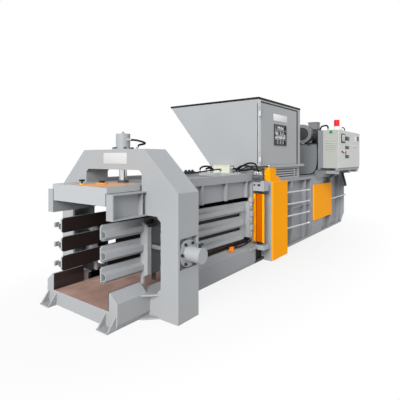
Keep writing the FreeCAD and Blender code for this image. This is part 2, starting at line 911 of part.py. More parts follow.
def clamp_screws():
    """Two T-headed clamp screws that stand on the press plate."""
    pieces = []
    for index, (x, y) in enumerate(KNOBS, start=1):
        seat = "press_high + knob_base"
        head = f"{seat} + knob_stem"
        middle = f"{head} + knob_bar"
        reach = (f"{y} - knob_reach", f"{y} + knob_reach")
        pieces.append(fused(f"clamp_{index}", [
            rod(f"knob_stem_{index}", "z", "knob_bar", seat, head, x, y, sides=OCTAGON),
            rod(f"knob_hub_{index}", "z", "knob_bar * 1.7", head, f"{head} + knob_bar * 2", x, y, sides=OCTAGON),
            rod(f"knob_cross_{index}", "y", "knob_bar", *reach, x, z=middle, sides=OCTAGON),
        ]))
    node("clamp_screws", *pieces)


def bolt_ring(name, axis, count, low, high, centre, circle):
    """Bolt heads on a circle in the plane square to the axis."""
    across = {"y": ("x", "z"), "z": ("x", "y"), "x": ("y", "z")}[axis]
    heads = []
    for index in range(count):
        turn = 360 * index / count
        spot = (f"({centre[0]}) + {circle} * cos({turn})", f"({centre[1]}) + {circle} * sin({turn})")
        heads.append(rod(f"{name}_{index}", axis, "bolt_radius", low, high, sides=HEXAGON, **dict(zip(across, spot))))
    return heads


def top_cylinder():
    """Upright cylinder on the portal with its gland, flange, lifting eye and rod."""
    barrel = rod("top_tube", "z", "top_barrel", "portal_top", "top_barrel_top")
    flange = rod("top_flange", "z", "top_bolt_circle + bolt_head", "portal_top", "portal_top + top_flange_thick",
                 sides=NEARLY_ROUND)
    gland = rod("top_gland_tube", "z", "top_gland", "press_gate_top", "portal_top", sides=NEARLY_ROUND)
    bore_top = "top_barrel_top - top_barrel / 4"
    bore = rod("top_bore_tube", "z", "top_rod + pin_slack", "press_gate_top", bore_top)
    eye_level = "top_barrel_top + eye_radius / 2"
    disc = rod("top_eye_disc", "y", "eye_radius", "-eye_thick / 2", "eye_thick / 2", z=eye_level, sides=OCTAGON)
    hole = rod("top_eye_hole", "y", "eye_radius / 2", "-eye_thick", "eye_thick", z=f"{eye_level} + eye_radius / 5",
               sides=OCTAGON)
    port = rod("top_port", "y", "hose_radius * 2", "-top_barrel - port_reach", "-top_barrel / 2", z="top_port_z",
               sides=HEXAGON)
    node("top_cylinder", cut("top_hollow", fused("top_solid", [barrel, flange, gland, disc, port]), [bore, hole]))
    foot = "press_high + top_boss_height + rod_gap"
    node("top_rod", rod("top_rod_bar", "z", "top_rod", foot, "top_barrel_top - top_barrel / 4 - top_stroke"))


def side_cylinder(name, side):
    """Side cylinder bolted into the portal's recess, with its rod on the arm's frame."""
    seat = "portal_half - recess_depth"
    inner = f"{seat} - side_gland_reach"
    spots = {"z": "side_ram_z"}
    low, high = ordered(side, seat, "side_barrel_end")
    barrel = rod(f"side_tube_{name}", "y", "side_barrel", low, high, **spots)
    low, high = ordered(side, seat, f"{seat} + side_flange_thick")
    flange = rod(f"side_flange_{name}", "y", "side_flange", low, high, **spots)
    low, high = ordered(side, inner, seat)
    gland = rod(f"side_gland_{name}", "y", "side_gland", low, high, sides=NEARLY_ROUND, **spots)
    low, high = ordered(side, inner, "side_barrel_end - side_barrel / 4")
    bore = rod(f"side_hole_{name}", "y", "side_rod + pin_slack", low, high, **spots)
    low, high = ordered(side, "link_reach + side_rod_gap", "side_barrel_end - side_barrel / 4 - side_stroke")
    node(f"side_rod_{name}", rod(f"side_shaft_{name}", "y", "side_rod", low, high, **spots))
    return cut(f"side_body_{name}", fused(f"side_solid_{name}", [barrel, flange, gland]), [bore])


def side_ports():
    """Elbow fittings on top of the side cylinders' outer ends."""
    pieces = []
    for name, side in SIDES.items():
        centre = f"{side} * (side_barrel_end - port_inset)"
        top = "side_ram_z + side_barrel"
        pieces.append(rod(f"side_port_{name}", "z", "port_radius", f"{top} + seat_gap", f"{top} + port_rise",
                          "0", centre, sides=HEXAGON))
        pieces.append(rod(f"side_elbow_{name}", "x", "port_radius * 0.8", "-port_radius * 0.7", "port_reach * 2",
                          y=centre, z=f"{top} + port_rise", sides=OCTAGON))
    node("side_ports", *pieces)


def cylinder_bolts():
    """Bolt heads of the three portal cylinders."""
    top = "portal_top + top_flange_thick"
    heads = bolt_ring("top_bolt", "z", BOLTS, top, f"{top} + bolt_head", ("0", "0"), "top_bolt_circle")
    face = "portal_half - recess_depth + side_flange_thick"
    for name, side in SIDES.items():
        low, high = ordered(side, face, f"{face} + bolt_head")
        heads += bolt_ring(f"side_bolt_{name}", "y", BOLTS, low, high, ("0", "side_ram_z"), "side_bolt_circle")
    node("cylinder_bolts", *heads)


def side_wall(name, side):
    """Double-skinned wall of the tying bay, feed box and tail, with its toe."""
    wall = swap(side, [
        ("channel_half", "0"),
        ("foot_half", "0"),
        ("web_half", "toe_rise"),
        ("side_half", "toe_rise"),
        ("side_half", "side_top"),
        ("channel_half", "side_top"),
    ])
    return [prism(f"wall_{name}", "x", [wall], "bay_x", "tail_x - tail_plate")]


RIBS = ("rib_one", "rib_two", "rib_three", "rib_four", "rib_five")


def side_ribs(name, side):
    """Upright ribs, the box column, the top flange and a stringer on one wall."""
    rib = swap(side, [
        ("side_half", "toe_rise"),
        ("web_half", "toe_rise"),
        ("rib_half", "rib_knee"),
        ("rib_half", "side_top - flange_height"),
        ("side_half", "side_top - flange_height"),
    ])
    pieces = []
    for index, start in enumerate(RIBS):
        pieces.append(prism(f"wall_rib_{name}_{index}", "x", [rib], start, f"{start} + rib_thick"))
    pieces.append(prism(f"column_{name}", "x", [rib], "column_x", "column_x + column_length"))
    first = "guard_x + guard_length"
    reach = ordered(side, "side_half", "rib_half")
    flange = ("side_top - flange_height", "side_top")
    pieces.append(block(f"wall_flange_{name}", (first, "tail_x - tail_plate"), reach, flange))
    stringer = ordered(side, "side_half", "stringer_half")
    level = ("stringer_z", "stringer_z + stringer_height")
    pieces.append(block(f"stringer_{name}", (first, "column_x"), stringer, level))
    return pieces


def tail_end():
    """Tail plate with the main cylinder's hole, and the plates that close the top."""
    outline = mirrored([
        ("tail_foot_half", "0"),
        ("tail_foot_half", "tail_foot"),
        ("tail_half", "rib_knee"),
        ("tail_half", "side_top"),
    ])
    hole = [(("0", "main_z"), "main_barrel + seat_gap")]
    node("tail_plate", prism("tail", "x", [outline], "tail_x - tail_plate", "tail_x", hole))
    across = ("-channel_half", "channel_half")
    level = ("side_top - cover_thick", "side_top")
    cover = block("tail_cover", ("feed_x + feed_length", "tail_x - tail_plate"), across, level)
    strip = block("feed_strip", ("feed_x", "feed_x + feed_length"), ("hopper_far_low", "channel_half"), level)
    node("top_covers", cover, strip)
    bridge = ("arm_hinge_x + lug_reach", "feed_x")
    node("rear_bridge", block("bridge", bridge, ("-side_half", "side_half"), ("side_top", "beam_top")))


def ram():
    """Hollow ram with its rod and the trailing apron that closes the feed opening."""
    half = "channel_half - ram_slack"
    low = "floor_z + ram_slack"
    across = (f"-({half})", half)
    shell = block("ram_shell", ("ram_face", "ram_face + ram_length"), across, (low, "ram_top"))
    hollow_half = "channel_half - ram_slack - ram_skin"
    hollow = block(
        "ram_hollow", ("ram_face + ram_skin", "ram_face + 2 * ram_length"),
        (f"-({hollow_half})", hollow_half), (f"{low} + ram_skin", "ram_top - ram_skin"),
    )
    apron = block(
        "ram_apron", ("ram_face + ram_skin", "ram_face + ram_skin + feed_length"), across,
        ("ram_top - ram_skin / 2", "ram_top"),
    )
    rod_end = "tail_x - tail_plate - main_cap_length"
    shaft = rod("ram_shaft", "x", "main_rod", "ram_face + ram_skin", rod_end, z="main_z")
    node("ram", fused("ram_box", [cut("ram_open", shell, [hollow]), apron, shaft]))


def main_cylinder():
    """Main cylinder through the tail plate, with its rear cap and front cradle."""
    wall_end = "tail_x - tail_plate"
    tube = rod("main_tube", "x", "main_barrel", "main_barrel_x", "tail_x", z="main_z", sides=NEARLY_ROUND)
    cap = rod("main_cap_disc", "x", "main_cap", "tail_x", "tail_x + main_cap_length", z="main_z",
              sides=NEARLY_ROUND)
    bore = rod("main_hole", "x", "main_rod + pin_slack", "main_barrel_x", wall_end, z="main_z")
    cradle = block(
        "main_cradle", ("main_barrel_x + ram_skin", "main_barrel_x + 2 * ram_skin"),
        ("-channel_half", "channel_half"), ("floor_z", "main_z + main_cap"),
    )
    node("main_cylinder", cut("main_body", fused("main_solid", [tube, cap, cradle]), [bore]))


HOPPER_REAR = "feed_x + feed_length"
HOPPER_FAR = "hopper_far_low + hopper_sheet"
NEAR_FACE = "-hopper_near + leaf_gap"


DOOR_HINGES = ("door_hinge_low", "hopper_top - door_hinge_drop")


def rectangle(x, z):
    """Corner list of a rectangle between two pairs of stations."""
    return [(x[0], z[0]), (x[1], z[0]), (x[1], z[1]), (x[0], z[1])]


def grille_slots():
    """Slots of the near collar, in two fields beside its upright."""
    slots = []
    fields = (
        ("feed_x + grille_margin", f"{HOPPER_REAR} - grille_post - grille_slot"),
        (f"{HOPPER_REAR} - grille_post + grille_slot", f"{HOPPER_REAR} - grille_margin"),
    )
    for index in range(SIZES["grille_slots"]):
        low = f"grille_low + {index} * grille_pitch"
        slots += [rectangle(field, (low, f"{low} + grille_slot")) for field in fields]
    return slots


def hopper():
    """Feed hopper: end plates, sloped far wall, near frame, collar grille and hinge halves."""
    end = [
        ("-side_half", "side_top"),
        ("-side_half", "collar_top"),
        (NEAR_FACE, "collar_top"),
        (NEAR_FACE, "hopper_top"),
        (f"hopper_far_high + {HOPPER_FAR} - hopper_far_low", "hopper_top"),
        (HOPPER_FAR, "hopper_rail_top"),
        (HOPPER_FAR, "side_top"),
    ]
    slope = [
        (HOPPER_FAR, "side_top"),
        (HOPPER_FAR, "hopper_rail_top"),
        ("hopper_far_high + hopper_sheet", "hopper_top"),
        ("hopper_far_high - hopper_sheet / 3", "hopper_top"),
        ("hopper_far_low", "hopper_rail_top + hopper_sheet / 3"),
        ("hopper_far_low", "side_top"),
    ]
    inside = ("feed_x + hopper_sheet", f"{HOPPER_REAR} - hopper_sheet")
    opening = ("feed_x + corner_post", f"{HOPPER_REAR} - rear_post")
    level = ("hopper_rail_top", "hopper_top")
    head = "hopper_top - head_strip"
    frame = [
        (inside[0], level[0]), (inside[0], level[1]), (inside[1], level[1]), (inside[1], level[0]),
        (opening[1], level[0]), (opening[1], head), (opening[0], head), (opening[0], level[0]),
    ]
    collar = [rectangle(inside, ("side_top", "collar_top"))] + grille_slots()
    rail_end = f"{HOPPER_REAR} + hopper_post"
    pieces = [
        prism("hopper_front", "x", [end], "feed_x", inside[0]),
        prism("hopper_back", "x", [end], inside[1], HOPPER_REAR),
        prism("hopper_slope", "x", [slope], *inside),
        prism("hopper_frame", "y", [frame], NEAR_FACE, f"{NEAR_FACE} + hopper_sheet"),
        prism("hopper_collar", "y", collar, "-side_half", "hopper_sheet - side_half"),
        block("hopper_rail", ("feed_x", rail_end), ("-stringer_half", "hopper_sheet - side_half"),
              ("collar_top", "hopper_rail_top")),
    ]
    for index, low in enumerate(DOOR_HINGES):
        middle = f"{low} + door_hinge_length / 2"
        spot = ("door_hinge_x", "-door_hinge_half")
        pieces.append(rod(f"hinge_half_{index}", "z", "door_hinge_radius", low, middle, *spot))
        pieces.append(rod(f"hinge_pin_{index}", "z", "door_pin", low, f"{low} + door_hinge_length", *spot))
        foot = ("door_hinge_x - door_pin", "door_hinge_x + door_pin")
        pieces.append(block(f"hinge_foot_{index}", foot, ("-door_hinge_half", NEAR_FACE), (low, middle)))
    node("hopper", *pieces)


def hopper_seals():
    """Rubber edge round the hopper's mouth and the door's seal."""
    far = "hopper_far_high + hopper_sheet"
    rim = rectangle(("feed_x", HOPPER_REAR), (NEAR_FACE, far))
    mouth = rectangle(
        ("feed_x + rim_width", f"{HOPPER_REAR} - rim_width"), (f"{NEAR_FACE} + rim_width", f"{far} - rim_width"),
    )
    strip = prism("rim", "z", [rim, mouth], "hopper_top", "hopper_top + rim_height")
    head = "hopper_top - head_strip"
    rear = f"{HOPPER_REAR} - rear_post"
    front = "feed_x + corner_post"
    seal = [
        (front, head), (rear, head), (rear, "hopper_rail_top"), (f"{rear} - seal_width", "hopper_rail_top"),
        (f"{rear} - seal_width", f"{head} - seal_height"), (front, f"{head} - seal_height"),
    ]
    node("hopper_seals", strip, prism("door_seal", "y", [seal], NEAR_FACE, f"{NEAR_FACE} + seal_depth"))


DOOR_X = ("feed_x + corner_post + door_gap", "feed_x + feed_length - rear_post - seal_width - door_gap")
DOOR_Z = ("hopper_rail_top + door_gap", "hopper_top - head_strip - seal_height - door_gap")


def window_panes():
    """Openings of the door's mesh, spaced evenly inside its frame."""
    panes = []
    wide = "(window_length - 2 * mesh_frame - (mesh_columns - 1) * mesh_bar) / mesh_columns"
    tall = "(window_height - 2 * mesh_frame - (mesh_rows - 1) * mesh_bar) / mesh_rows"
    for column in range(SIZES["mesh_columns"]):
        left = f"feed_x + window_x + mesh_frame + {column} * ({wide} + mesh_bar)"
        for row in range(SIZES["mesh_rows"]):
            low = f"window_z + mesh_frame + {row} * ({tall} + mesh_bar)"
            panes.append(rectangle((left, f"{left} + {wide}"), (low, f"{low} + {tall}")))
    return panes


def hopper_door():
    """Inspection door: a folded tray with a mesh window, on two pin hinges."""
    face = ("-hopper_near", "door_fold - hopper_near")
    tray = block("door_tray", DOOR_X, face, DOOR_Z)
    hollow = block(
        "door_hollow", (f"{DOOR_X[0]} + sheet_thick", f"{DOOR_X[1]} - sheet_thick"),
        ("sheet_thick - hopper_near", "2 * door_fold - hopper_near"),
        (f"{DOOR_Z[0]} + sheet_thick", f"{DOOR_Z[1]} - sheet_thick"),
    )
    window = block(
        "door_window", ("feed_x + window_x + mesh_frame", "feed_x + window_x + window_length - mesh_frame"),
        ("-hopper_near - door_fold", "door_fold - hopper_near"),
        ("window_z + mesh_frame", "window_z + window_height - mesh_frame"),
    )
    halves = []
    bores = []
    for index, low in enumerate(DOOR_HINGES):
        level = (f"{low} + door_hinge_length / 2 + rod_gap / 10", f"{low} + door_hinge_length")
        spot = ("door_hinge_x", "-door_hinge_half")
        strap_x = ("door_hinge_x", f"{DOOR_X[0]} + strap_reach")
        strap_y = ("-hopper_near - sheet_thick", "-hopper_near")
        halves.append(rod(f"hinge_upper_{index}", "z", "door_hinge_radius", *level, *spot))
        halves.append(block(f"hinge_strap_{index}", strap_x, strap_y, level))
        bores.append(rod(f"hinge_bore_{index}", "z", "door_pin + pin_slack", low, level[1], *spot))
    solid = fused("door_solid", [cut("door_shell", tray, [hollow, window])] + halves)
    node("hopper_door", cut("door_whole", solid, bores))
    frame = rectangle(
        ("feed_x + window_x", "feed_x + window_x + window_length"), ("window_z", "window_z + window_height"),
    )
    node("door_mesh", prism("mesh", "y", [frame] + window_panes(), "-hopper_near - mesh_bar", "-hopper_near"))


MOTOR_X = "twist_x - 1.5 * twist_motor"
MOTOR_Z = "tie_top_high + tie_plate + twist_case"


def tying_unit():
    """Brackets, twister shaft with its hooks and collars, hydraulic motor and wire trough."""
    along = ("tie_x", "tie_x + tie_length")
    across = ("-tie_half", "-side_half")
    inner_x = ("tie_x + tie_plate", "tie_x + 2 * tie_length")
    inner_y = ("tie_plate - tie_half", "-side_half - tie_plate")
    top = ("tie_top_low", "tie_top_high")
    base = ("tie_base_low", "tie_base_high")
    spot = ("twist_x", "-twist_half")
    holes = [
        block("tie_inside_top", inner_x, inner_y, (f"{top[0]} + tie_plate", f"{top[1]} - tie_plate")),
        block("tie_inside_base", inner_x, inner_y, (f"{base[0]} + tie_plate", f"{base[1]} - tie_plate")),
        block("tie_slot", ("tie_x - tie_plate", inner_x[1]), ("-twist_half - slot_length", "-twist_half"),
              (f"{top[0]} + slot_rise", f"{top[0]} + slot_rise + tie_slot_height")),
        rod("tie_hole", "x", "tie_slot_height / 2", "tie_x - tie_plate", inner_x[1], y="-side_half - 2 * tie_plate",
            z=f"{top[0]} + slot_rise + tie_slot_height / 2"),
        rod("twist_bore", "z", "twist_shaft + pin_slack", f"{base[0]} + tie_plate", top[1], *spot),
    ]
    arm = block("tie_arm", ("tie_x - tie_arm_length", "tie_x + tie_plate"),
                ("-web_half - 3 * tie_plate", "-web_half"), ("tie_base_high - 4 * tie_plate", "tie_base_high - tie_plate"))
    boxes = [block("tie_top_box", along, across, top), block("tie_base_box", along, across, base), arm]
    node("tie_brackets", cut("tie_boxes", fused("tie_solid", boxes), holes))
    low_collar = (f"{base[1]} + rod_gap", f"{base[1]} + rod_gap + twist_collar_height")
    high_collar = (f"{top[0]} - rod_gap - twist_collar_height", f"{top[0]} - rod_gap")
    pieces = [
        rod("twist_foot_end", "z", "twist_shaft", f"{base[0]} + tie_plate + seat_gap", low_collar[0], *spot),
        rod("twist_collar_low", "z", "twist_collar", *low_collar, *spot, sides=DODECAGON),
        rod("twist_bar", "z", "twist_shaft", low_collar[1], high_collar[0], *spot, sides=DODECAGON),
        rod("twist_collar_high", "z", "twist_collar", *high_collar, *spot, sides=DODECAGON),
        rod("twist_drive_end", "z", "twist_shaft", high_collar[1], f"{top[1]} - seat_gap", *spot),
    ]
    for index in range(SIZES["wire_count"]):
        low = f"wire_low + {index} * wire_pitch - twist_disc / 2"
        pieces.append(rod(f"twist_hook_{index}", "z", "twist_shaft * 1.35", low, f"{low} + twist_disc", *spot, sides=OCTAGON))
    node("twister", *pieces)
    foot_top = f"{top[1]} + 2 * tie_plate"
    case = {"x": MOTOR_X, "z": MOTOR_Z}
    node(
        "twist_motor",
        block("twist_foot", (f"{MOTOR_X} - twist_motor / 2", "twist_x + twist_motor"),
              ("-twist_half - twist_motor", "twist_motor - twist_half"), (top[1], foot_top)),
        block("twist_gear", (MOTOR_X, "twist_x + twist_motor / 2"),
              ("-twist_half - twist_motor / 2", "twist_motor / 2 - twist_half"), (foot_top, MOTOR_Z)),
        rod("twist_case", "y", "twist_case", "-twist_half - twist_motor", "twist_motor - twist_half",
            sides=NEARLY_ROUND, **case),
        rod("twist_cap", "y", "twist_case * 0.7", "-twist_half - twist_motor - tie_plate", "-twist_half",
            sides=DODECAGON, **case),
    )
    front = "tie_x + trough_setback"
    back = f"{front} + trough_depth"
    trough = [
        (front, "-tie_half"), (front, "trough_lip - tie_half"), (f"{back} - sheet_thick", "trough_lip - tie_half"),
        (f"{back} - sheet_thick", "-side_half - trough_lip"), (front, "-side_half - trough_lip"),
        (front, "-side_half"), (f"{front} + sheet_thick", "-side_half"),
        (f"{front} + sheet_thick", "-side_half - trough_lip + sheet_thick"),
        (back, "-side_half - trough_lip + sheet_thick"), (back, "trough_lip - sheet_thick - tie_half"),
        (f"{front} + sheet_thick", "trough_lip - sheet_thick - tie_half"), (f"{front} + sheet_thick", "-tie_half"),
    ]
    node("trough_guard", prism("trough", "z", [trough], "trough_low", "trough_high"))


GUARD_REAR = "guard_x + guard_length"


def guard_boxes():
    """Sheet box over the wire feed with its tall door, and the cover on top."""
    inner = ("guard_x + sheet_thick", f"{GUARD_REAR} - sheet_thick")
    hood = [
        ("guard_x", "0"), ("guard_x", "guard_top"), (GUARD_REAR, "guard_top"), (GUARD_REAR, "0"),
        (inner[1], "0"), (inner[1], "guard_top - sheet_thick"), (inner[0], "guard_top - sheet_thick"), (inner[0], "0"),
    ]
    box_face = "guard_fold + leaf_gap - guard_half"
    toe = block(
        "guard_toe", ("guard_x - sheet_thick", f"{GUARD_REAR} + sheet_thick"), ("-web_half - seat_gap", "-side_half"),
        ("0", "toe_rise + seat_gap"),
    )
    node("guard_box", cut("guard_sheets", prism("guard_hood", "y", [hood], box_face, "-side_half"), [toe]))
    level = ("guard_door_bottom", "guard_top")
    tray = block("guard_tray", ("guard_x", GUARD_REAR), ("-guard_half", "guard_fold - guard_half"), level)
    hollow = block(
        "guard_hollow", inner, ("sheet_thick - guard_half", "2 * guard_fold - guard_half"),
        (f"{level[0]} + sheet_thick", f"{level[1]} - sheet_thick"),
    )
    node("guard_door", cut("guard_door_whole", tray, [hollow]))
    cover_end = "guard_x + top_guard_length"
    cover = block("cover_case", ("guard_x", cover_end), ("-top_guard_out", "-top_guard_in"), ("guard_top", "top_guard_top"))
    inside = block(
        "cover_inside", (inner[0], f"{cover_end} - sheet_thick"), ("sheet_thick - top_guard_out", "-top_guard_in - sheet_thick"),
        ("guard_top - sheet_thick", "top_guard_top - sheet_thick"),
    )
    tongue = [
        (cover_end, "guard_top"), (cover_end, "guard_top + tongue_height"),
        (f"{cover_end} + tongue_length / 2", "guard_top + tongue_height"),
        (f"{cover_end} + tongue_length", "guard_top + tongue_height / 3"), (f"{cover_end} + tongue_length", "guard_top"),
    ]
    fin = prism("cover_tongue", "y", [tongue], "-top_guard_out", "sheet_thick - top_guard_out")
    node("cover_box", cut("cover_shell", cover, [inside]), fin)


def wire_tubes():
    """Guide tubes that fan out from the guard box, with their end caps."""
    reach = "sqrt((wire_end_x - guard_x - guard_length)^2 + (wire_end_half - wire_start_half)^2)"
    pieces = []
    for index in range(SIZES["wire_count"]):
        level = f"wire_low + {index} * wire_pitch"
        pieces.append(rod(f"wire_tube_{index}", "x", "wire_tube", "wire_seat", reach, z=level, sides=DODECAGON))
        pieces.append(rod(f"wire_cap_{index}", "x", "wire_cap", f"{reach} - wire_cap_length", reach, z=level, sides=OCTAGON))
    fan = fused("wire_fan", pieces)
    place(fan, "guard_x + guard_length", "-wire_start_half", "0", Rotation(Vector(0, 0, 1), 1))
    lean = "atan((wire_end_half - wire_start_half) / (wire_end_x - guard_x - guard_length))"
    bind(fan, "Placement.Rotation.Angle", f"-{lean}")
    spot = {"y": "-tail_half - wire_tube - seat_gap", "z": "tail_tube_z"}
    tail_end = "tail_x + wire_cap_length"
    tail = rod("tail_tube", "x", "wire_tube", "column_x + side_panel_length + panel_shift", tail_end,
               sides=DODECAGON, **spot)
    cap = rod("tail_tube_cap", "x", "wire_cap", "tail_x + seat_gap", tail_end, sides=OCTAGON, **spot)
    node("wire_tubes", fan, tail, cap)


def side_panel():
    """Bolted cover on the operator's side: a folded tray on the column and ribs."""
    along = ("column_x + panel_shift", "column_x + panel_shift + side_panel_length")
    face = ("-rib_half - panel_fold", "-rib_half")
    tray = block("panel_tray", along, face, ("side_panel_low", "side_panel_high"))
    hollow = block(
        "panel_hollow", (f"{along[0]} + sheet_thick", f"{along[1]} - sheet_thick"),
        ("sheet_thick - rib_half - panel_fold", "panel_fold - rib_half"),
        ("side_panel_low + sheet_thick", "side_panel_high - sheet_thick"),
    )
    node("side_panel", cut("panel_whole", tray, [hollow]))


def junction_box():
    """Terminal box on the rear bridge, with a lid that overlaps it."""
    case = block(
        "junction_case", ("junction_x", "junction_x + junction_length"), ("-junction_near", "junction_far"),
        ("beam_top", "beam_top + junction_height"),
    )
    lid = block(
        "junction_lid", ("junction_x - sheet_thick", "junction_x + junction_length + sheet_thick"),
        ("-junction_near - sheet_thick", "junction_far + sheet_thick"),
        ("beam_top + junction_height", "beam_top + junction_height + 3 * sheet_thick"),
    )
    node("junction_box", case, lid)


def tank():
    """Oil tank with a lid plate, filler cap and the valve block behind the motor."""
    lid_top = "tank_top + tank_lid"
    case = block("tank_case", ("tank_x", "tank_x + tank_length"), ("-tank_near", "tank_far"), ("side_top", "tank_top"))
    lid = block(
        "tank_lid_plate", ("tank_x - tank_lid", "tank_x + tank_length + tank_lid"),
        ("-tank_near - tank_lid", "tank_far + tank_lid"), ("tank_top", lid_top),
    )
    filler = rod(
        "tank_filler", "z", "filler_radius", lid_top, f"{lid_top} + filler_radius * 1.5",
        "tank_x + tank_length - 2 * filler_radius", "tank_far - 2 * filler_radius", sides=DODECAGON,
    )
    valve_y = ("tank_far - 3 * filler_radius", "tank_far - filler_radius")
    pieces = [case, lid, filler]
    pieces.append(block(
        "valve_block", ("motor_x + filler_radius", "motor_x + motor_length"), valve_y,
        (lid_top, f"{lid_top} + filler_radius * 3"),
    ))
    for index in range(VALVES):
        low = f"motor_x + filler_radius * (1.4 + {index} * 2.2)"
        pieces.append(block(
            f"valve_{index}", (low, f"{low} + filler_radius"), valve_y,
            (f"{lid_top} + filler_radius * 3", f"{lid_top} + filler_radius * 6"),
        ))
    node("tank", *pieces)


VALVES = 4


def motor_drum():
    """Motor case: a many-sided drum with fins repeated round its axis."""
    pieces = [rod("motor_case", "x", "motor_radius - fin_height", "0", "motor_length", sides=NEARLY_ROUND)]
    half = SIZES["motor_fins"] // 2
    slab = rectangle(("-fin_thick / 2", "fin_thick / 2"), ("-motor_radius * 0.97", "motor_radius * 0.97"))
    for index in range(half):
        fin = prism(f"motor_fin_{index}", "x", [slab], "0", "motor_length")
        fin.Placement = Placement(Vector(), Rotation(Vector(1, 0, 0), 180 * index / half))
        pieces.append(fin)
    drum = fused("motor_body", pieces)
    place(drum, "motor_x", "motor_y", "motor_z")
    return drum


def motor():
    """Electric motor with its fan cowl, feet and terminal box, then the bell housing and pump."""
    lid_top = "tank_top + tank_lid"
    spot = {"y": "motor_y", "z": "motor_z"}
    motor_end = "motor_x + motor_length"
    cowl = rod("motor_cowl", "x", "motor_radius", "motor_x - cowl_length", "motor_x", **spot)
    grille = rod("motor_grille", "x", "motor_radius * 0.66", "motor_x - cowl_length * 1.1", "motor_x",
                 sides=NEARLY_ROUND, **spot)
    bell = rod("bell", "x", "motor_radius * 0.6", motor_end, f"{motor_end} + bell_length",
               sides=DODECAGON, **spot)
    flange = rod("bell_flange", "x", "motor_radius", motor_end, f"{motor_end} + cowl_length / 5",
                 sides=NEARLY_ROUND, **spot)
    pump = rod("pump_case", "x", "motor_radius * 0.4", f"{motor_end} + bell_length",
               f"{motor_end} + 2.2 * bell_length", sides=DODECAGON, **spot)
    box_low = "motor_z + motor_radius / 2"
    box = block("terminal_case", ("terminal_x", "terminal_x + terminal_length"), ("-terminal_near", "-terminal_far"),
                (box_low, "terminal_top"))
    lid = block("terminal_lid", ("terminal_x - sheet_thick * 2", "terminal_x + terminal_length + sheet_thick * 2"),
                ("-terminal_near - sheet_thick * 2", "sheet_thick * 2 - terminal_far"),
                ("terminal_top", "terminal_top + sheet_thick * 3"))
    pieces = [motor_drum(), cowl, grille, bell, flange, pump, box, lid]
    for index, low in enumerate(("motor_x + foot_length / 2", f"{motor_end} - 1.5 * foot_length")):
        pieces.append(block(
            f"motor_foot_{index}", (low, f"{low} + foot_length"),
            ("motor_y - motor_radius * 0.8", "motor_y + motor_radius * 0.8"),
            (f"{lid_top} + motor_rail", "motor_z - motor_radius * 0.7"),
        ))
    node("motor", *pieces)
    rails = []
    for index, shift in enumerate(("-motor_radius * 0.8", "motor_radius * 0.8 - rail_width")):
        start = f"motor_y + {shift}"
        rails.append(block(
            f"motor_rail_{index}", ("motor_x - cowl_length", motor_end), (start, f"{start} + rail_width"),
            (lid_top, f"{lid_top} + motor_rail"),
        ))
    cooler = block("cooler_case", ("cooler_x", "cooler_x + cooler_length"), ("-tank_near", "cooler_width - tank_near"),
                   (lid_top, "cooler_top"))
    node("cooler", *rails, cooler)


CABINET_REAR = "cabinet_x + cabinet_length"


def stand():
    """Bracket frame that carries the cabinet from the wall's top flange."""
    beams = []
    gusset = [
        ("-rib_half", "side_top - 2 * flange_height"),
        ("-rib_half", "stand_low"),
        ("-cabinet_back - stand_bar", "stand_low"),
    ]
    for index, start in enumerate(("column_x + stand_shift", "rib_five", "rib_four")):
        along = (start, f"{start} + stand_bar")
        beams.append(block(f"stand_post_{index}", along, ("-rib_half", "stand_bar - rib_half"), ("side_top", "stand_low")))
        beams.append(block(f"stand_arm_{index}", along, ("stand_edge - cabinet_front", "stand_bar - rib_half"),
                           ("stand_low", "cabinet_low - stand_bar")))
        beams.append(prism(f"stand_gusset_{index}", "x", [gusset], start, f"{start} + rib_thick / 2"))
    for index, low in enumerate(("stand_edge - cabinet_front", "-duct_back - stand_bar")):
        beams.append(block(f"stand_rail_{index}", ("cabinet_x", CABINET_REAR), (low, f"{low} + stand_bar"),
                           ("cabinet_low - stand_bar", "cabinet_low")))
    node("stand", *beams)


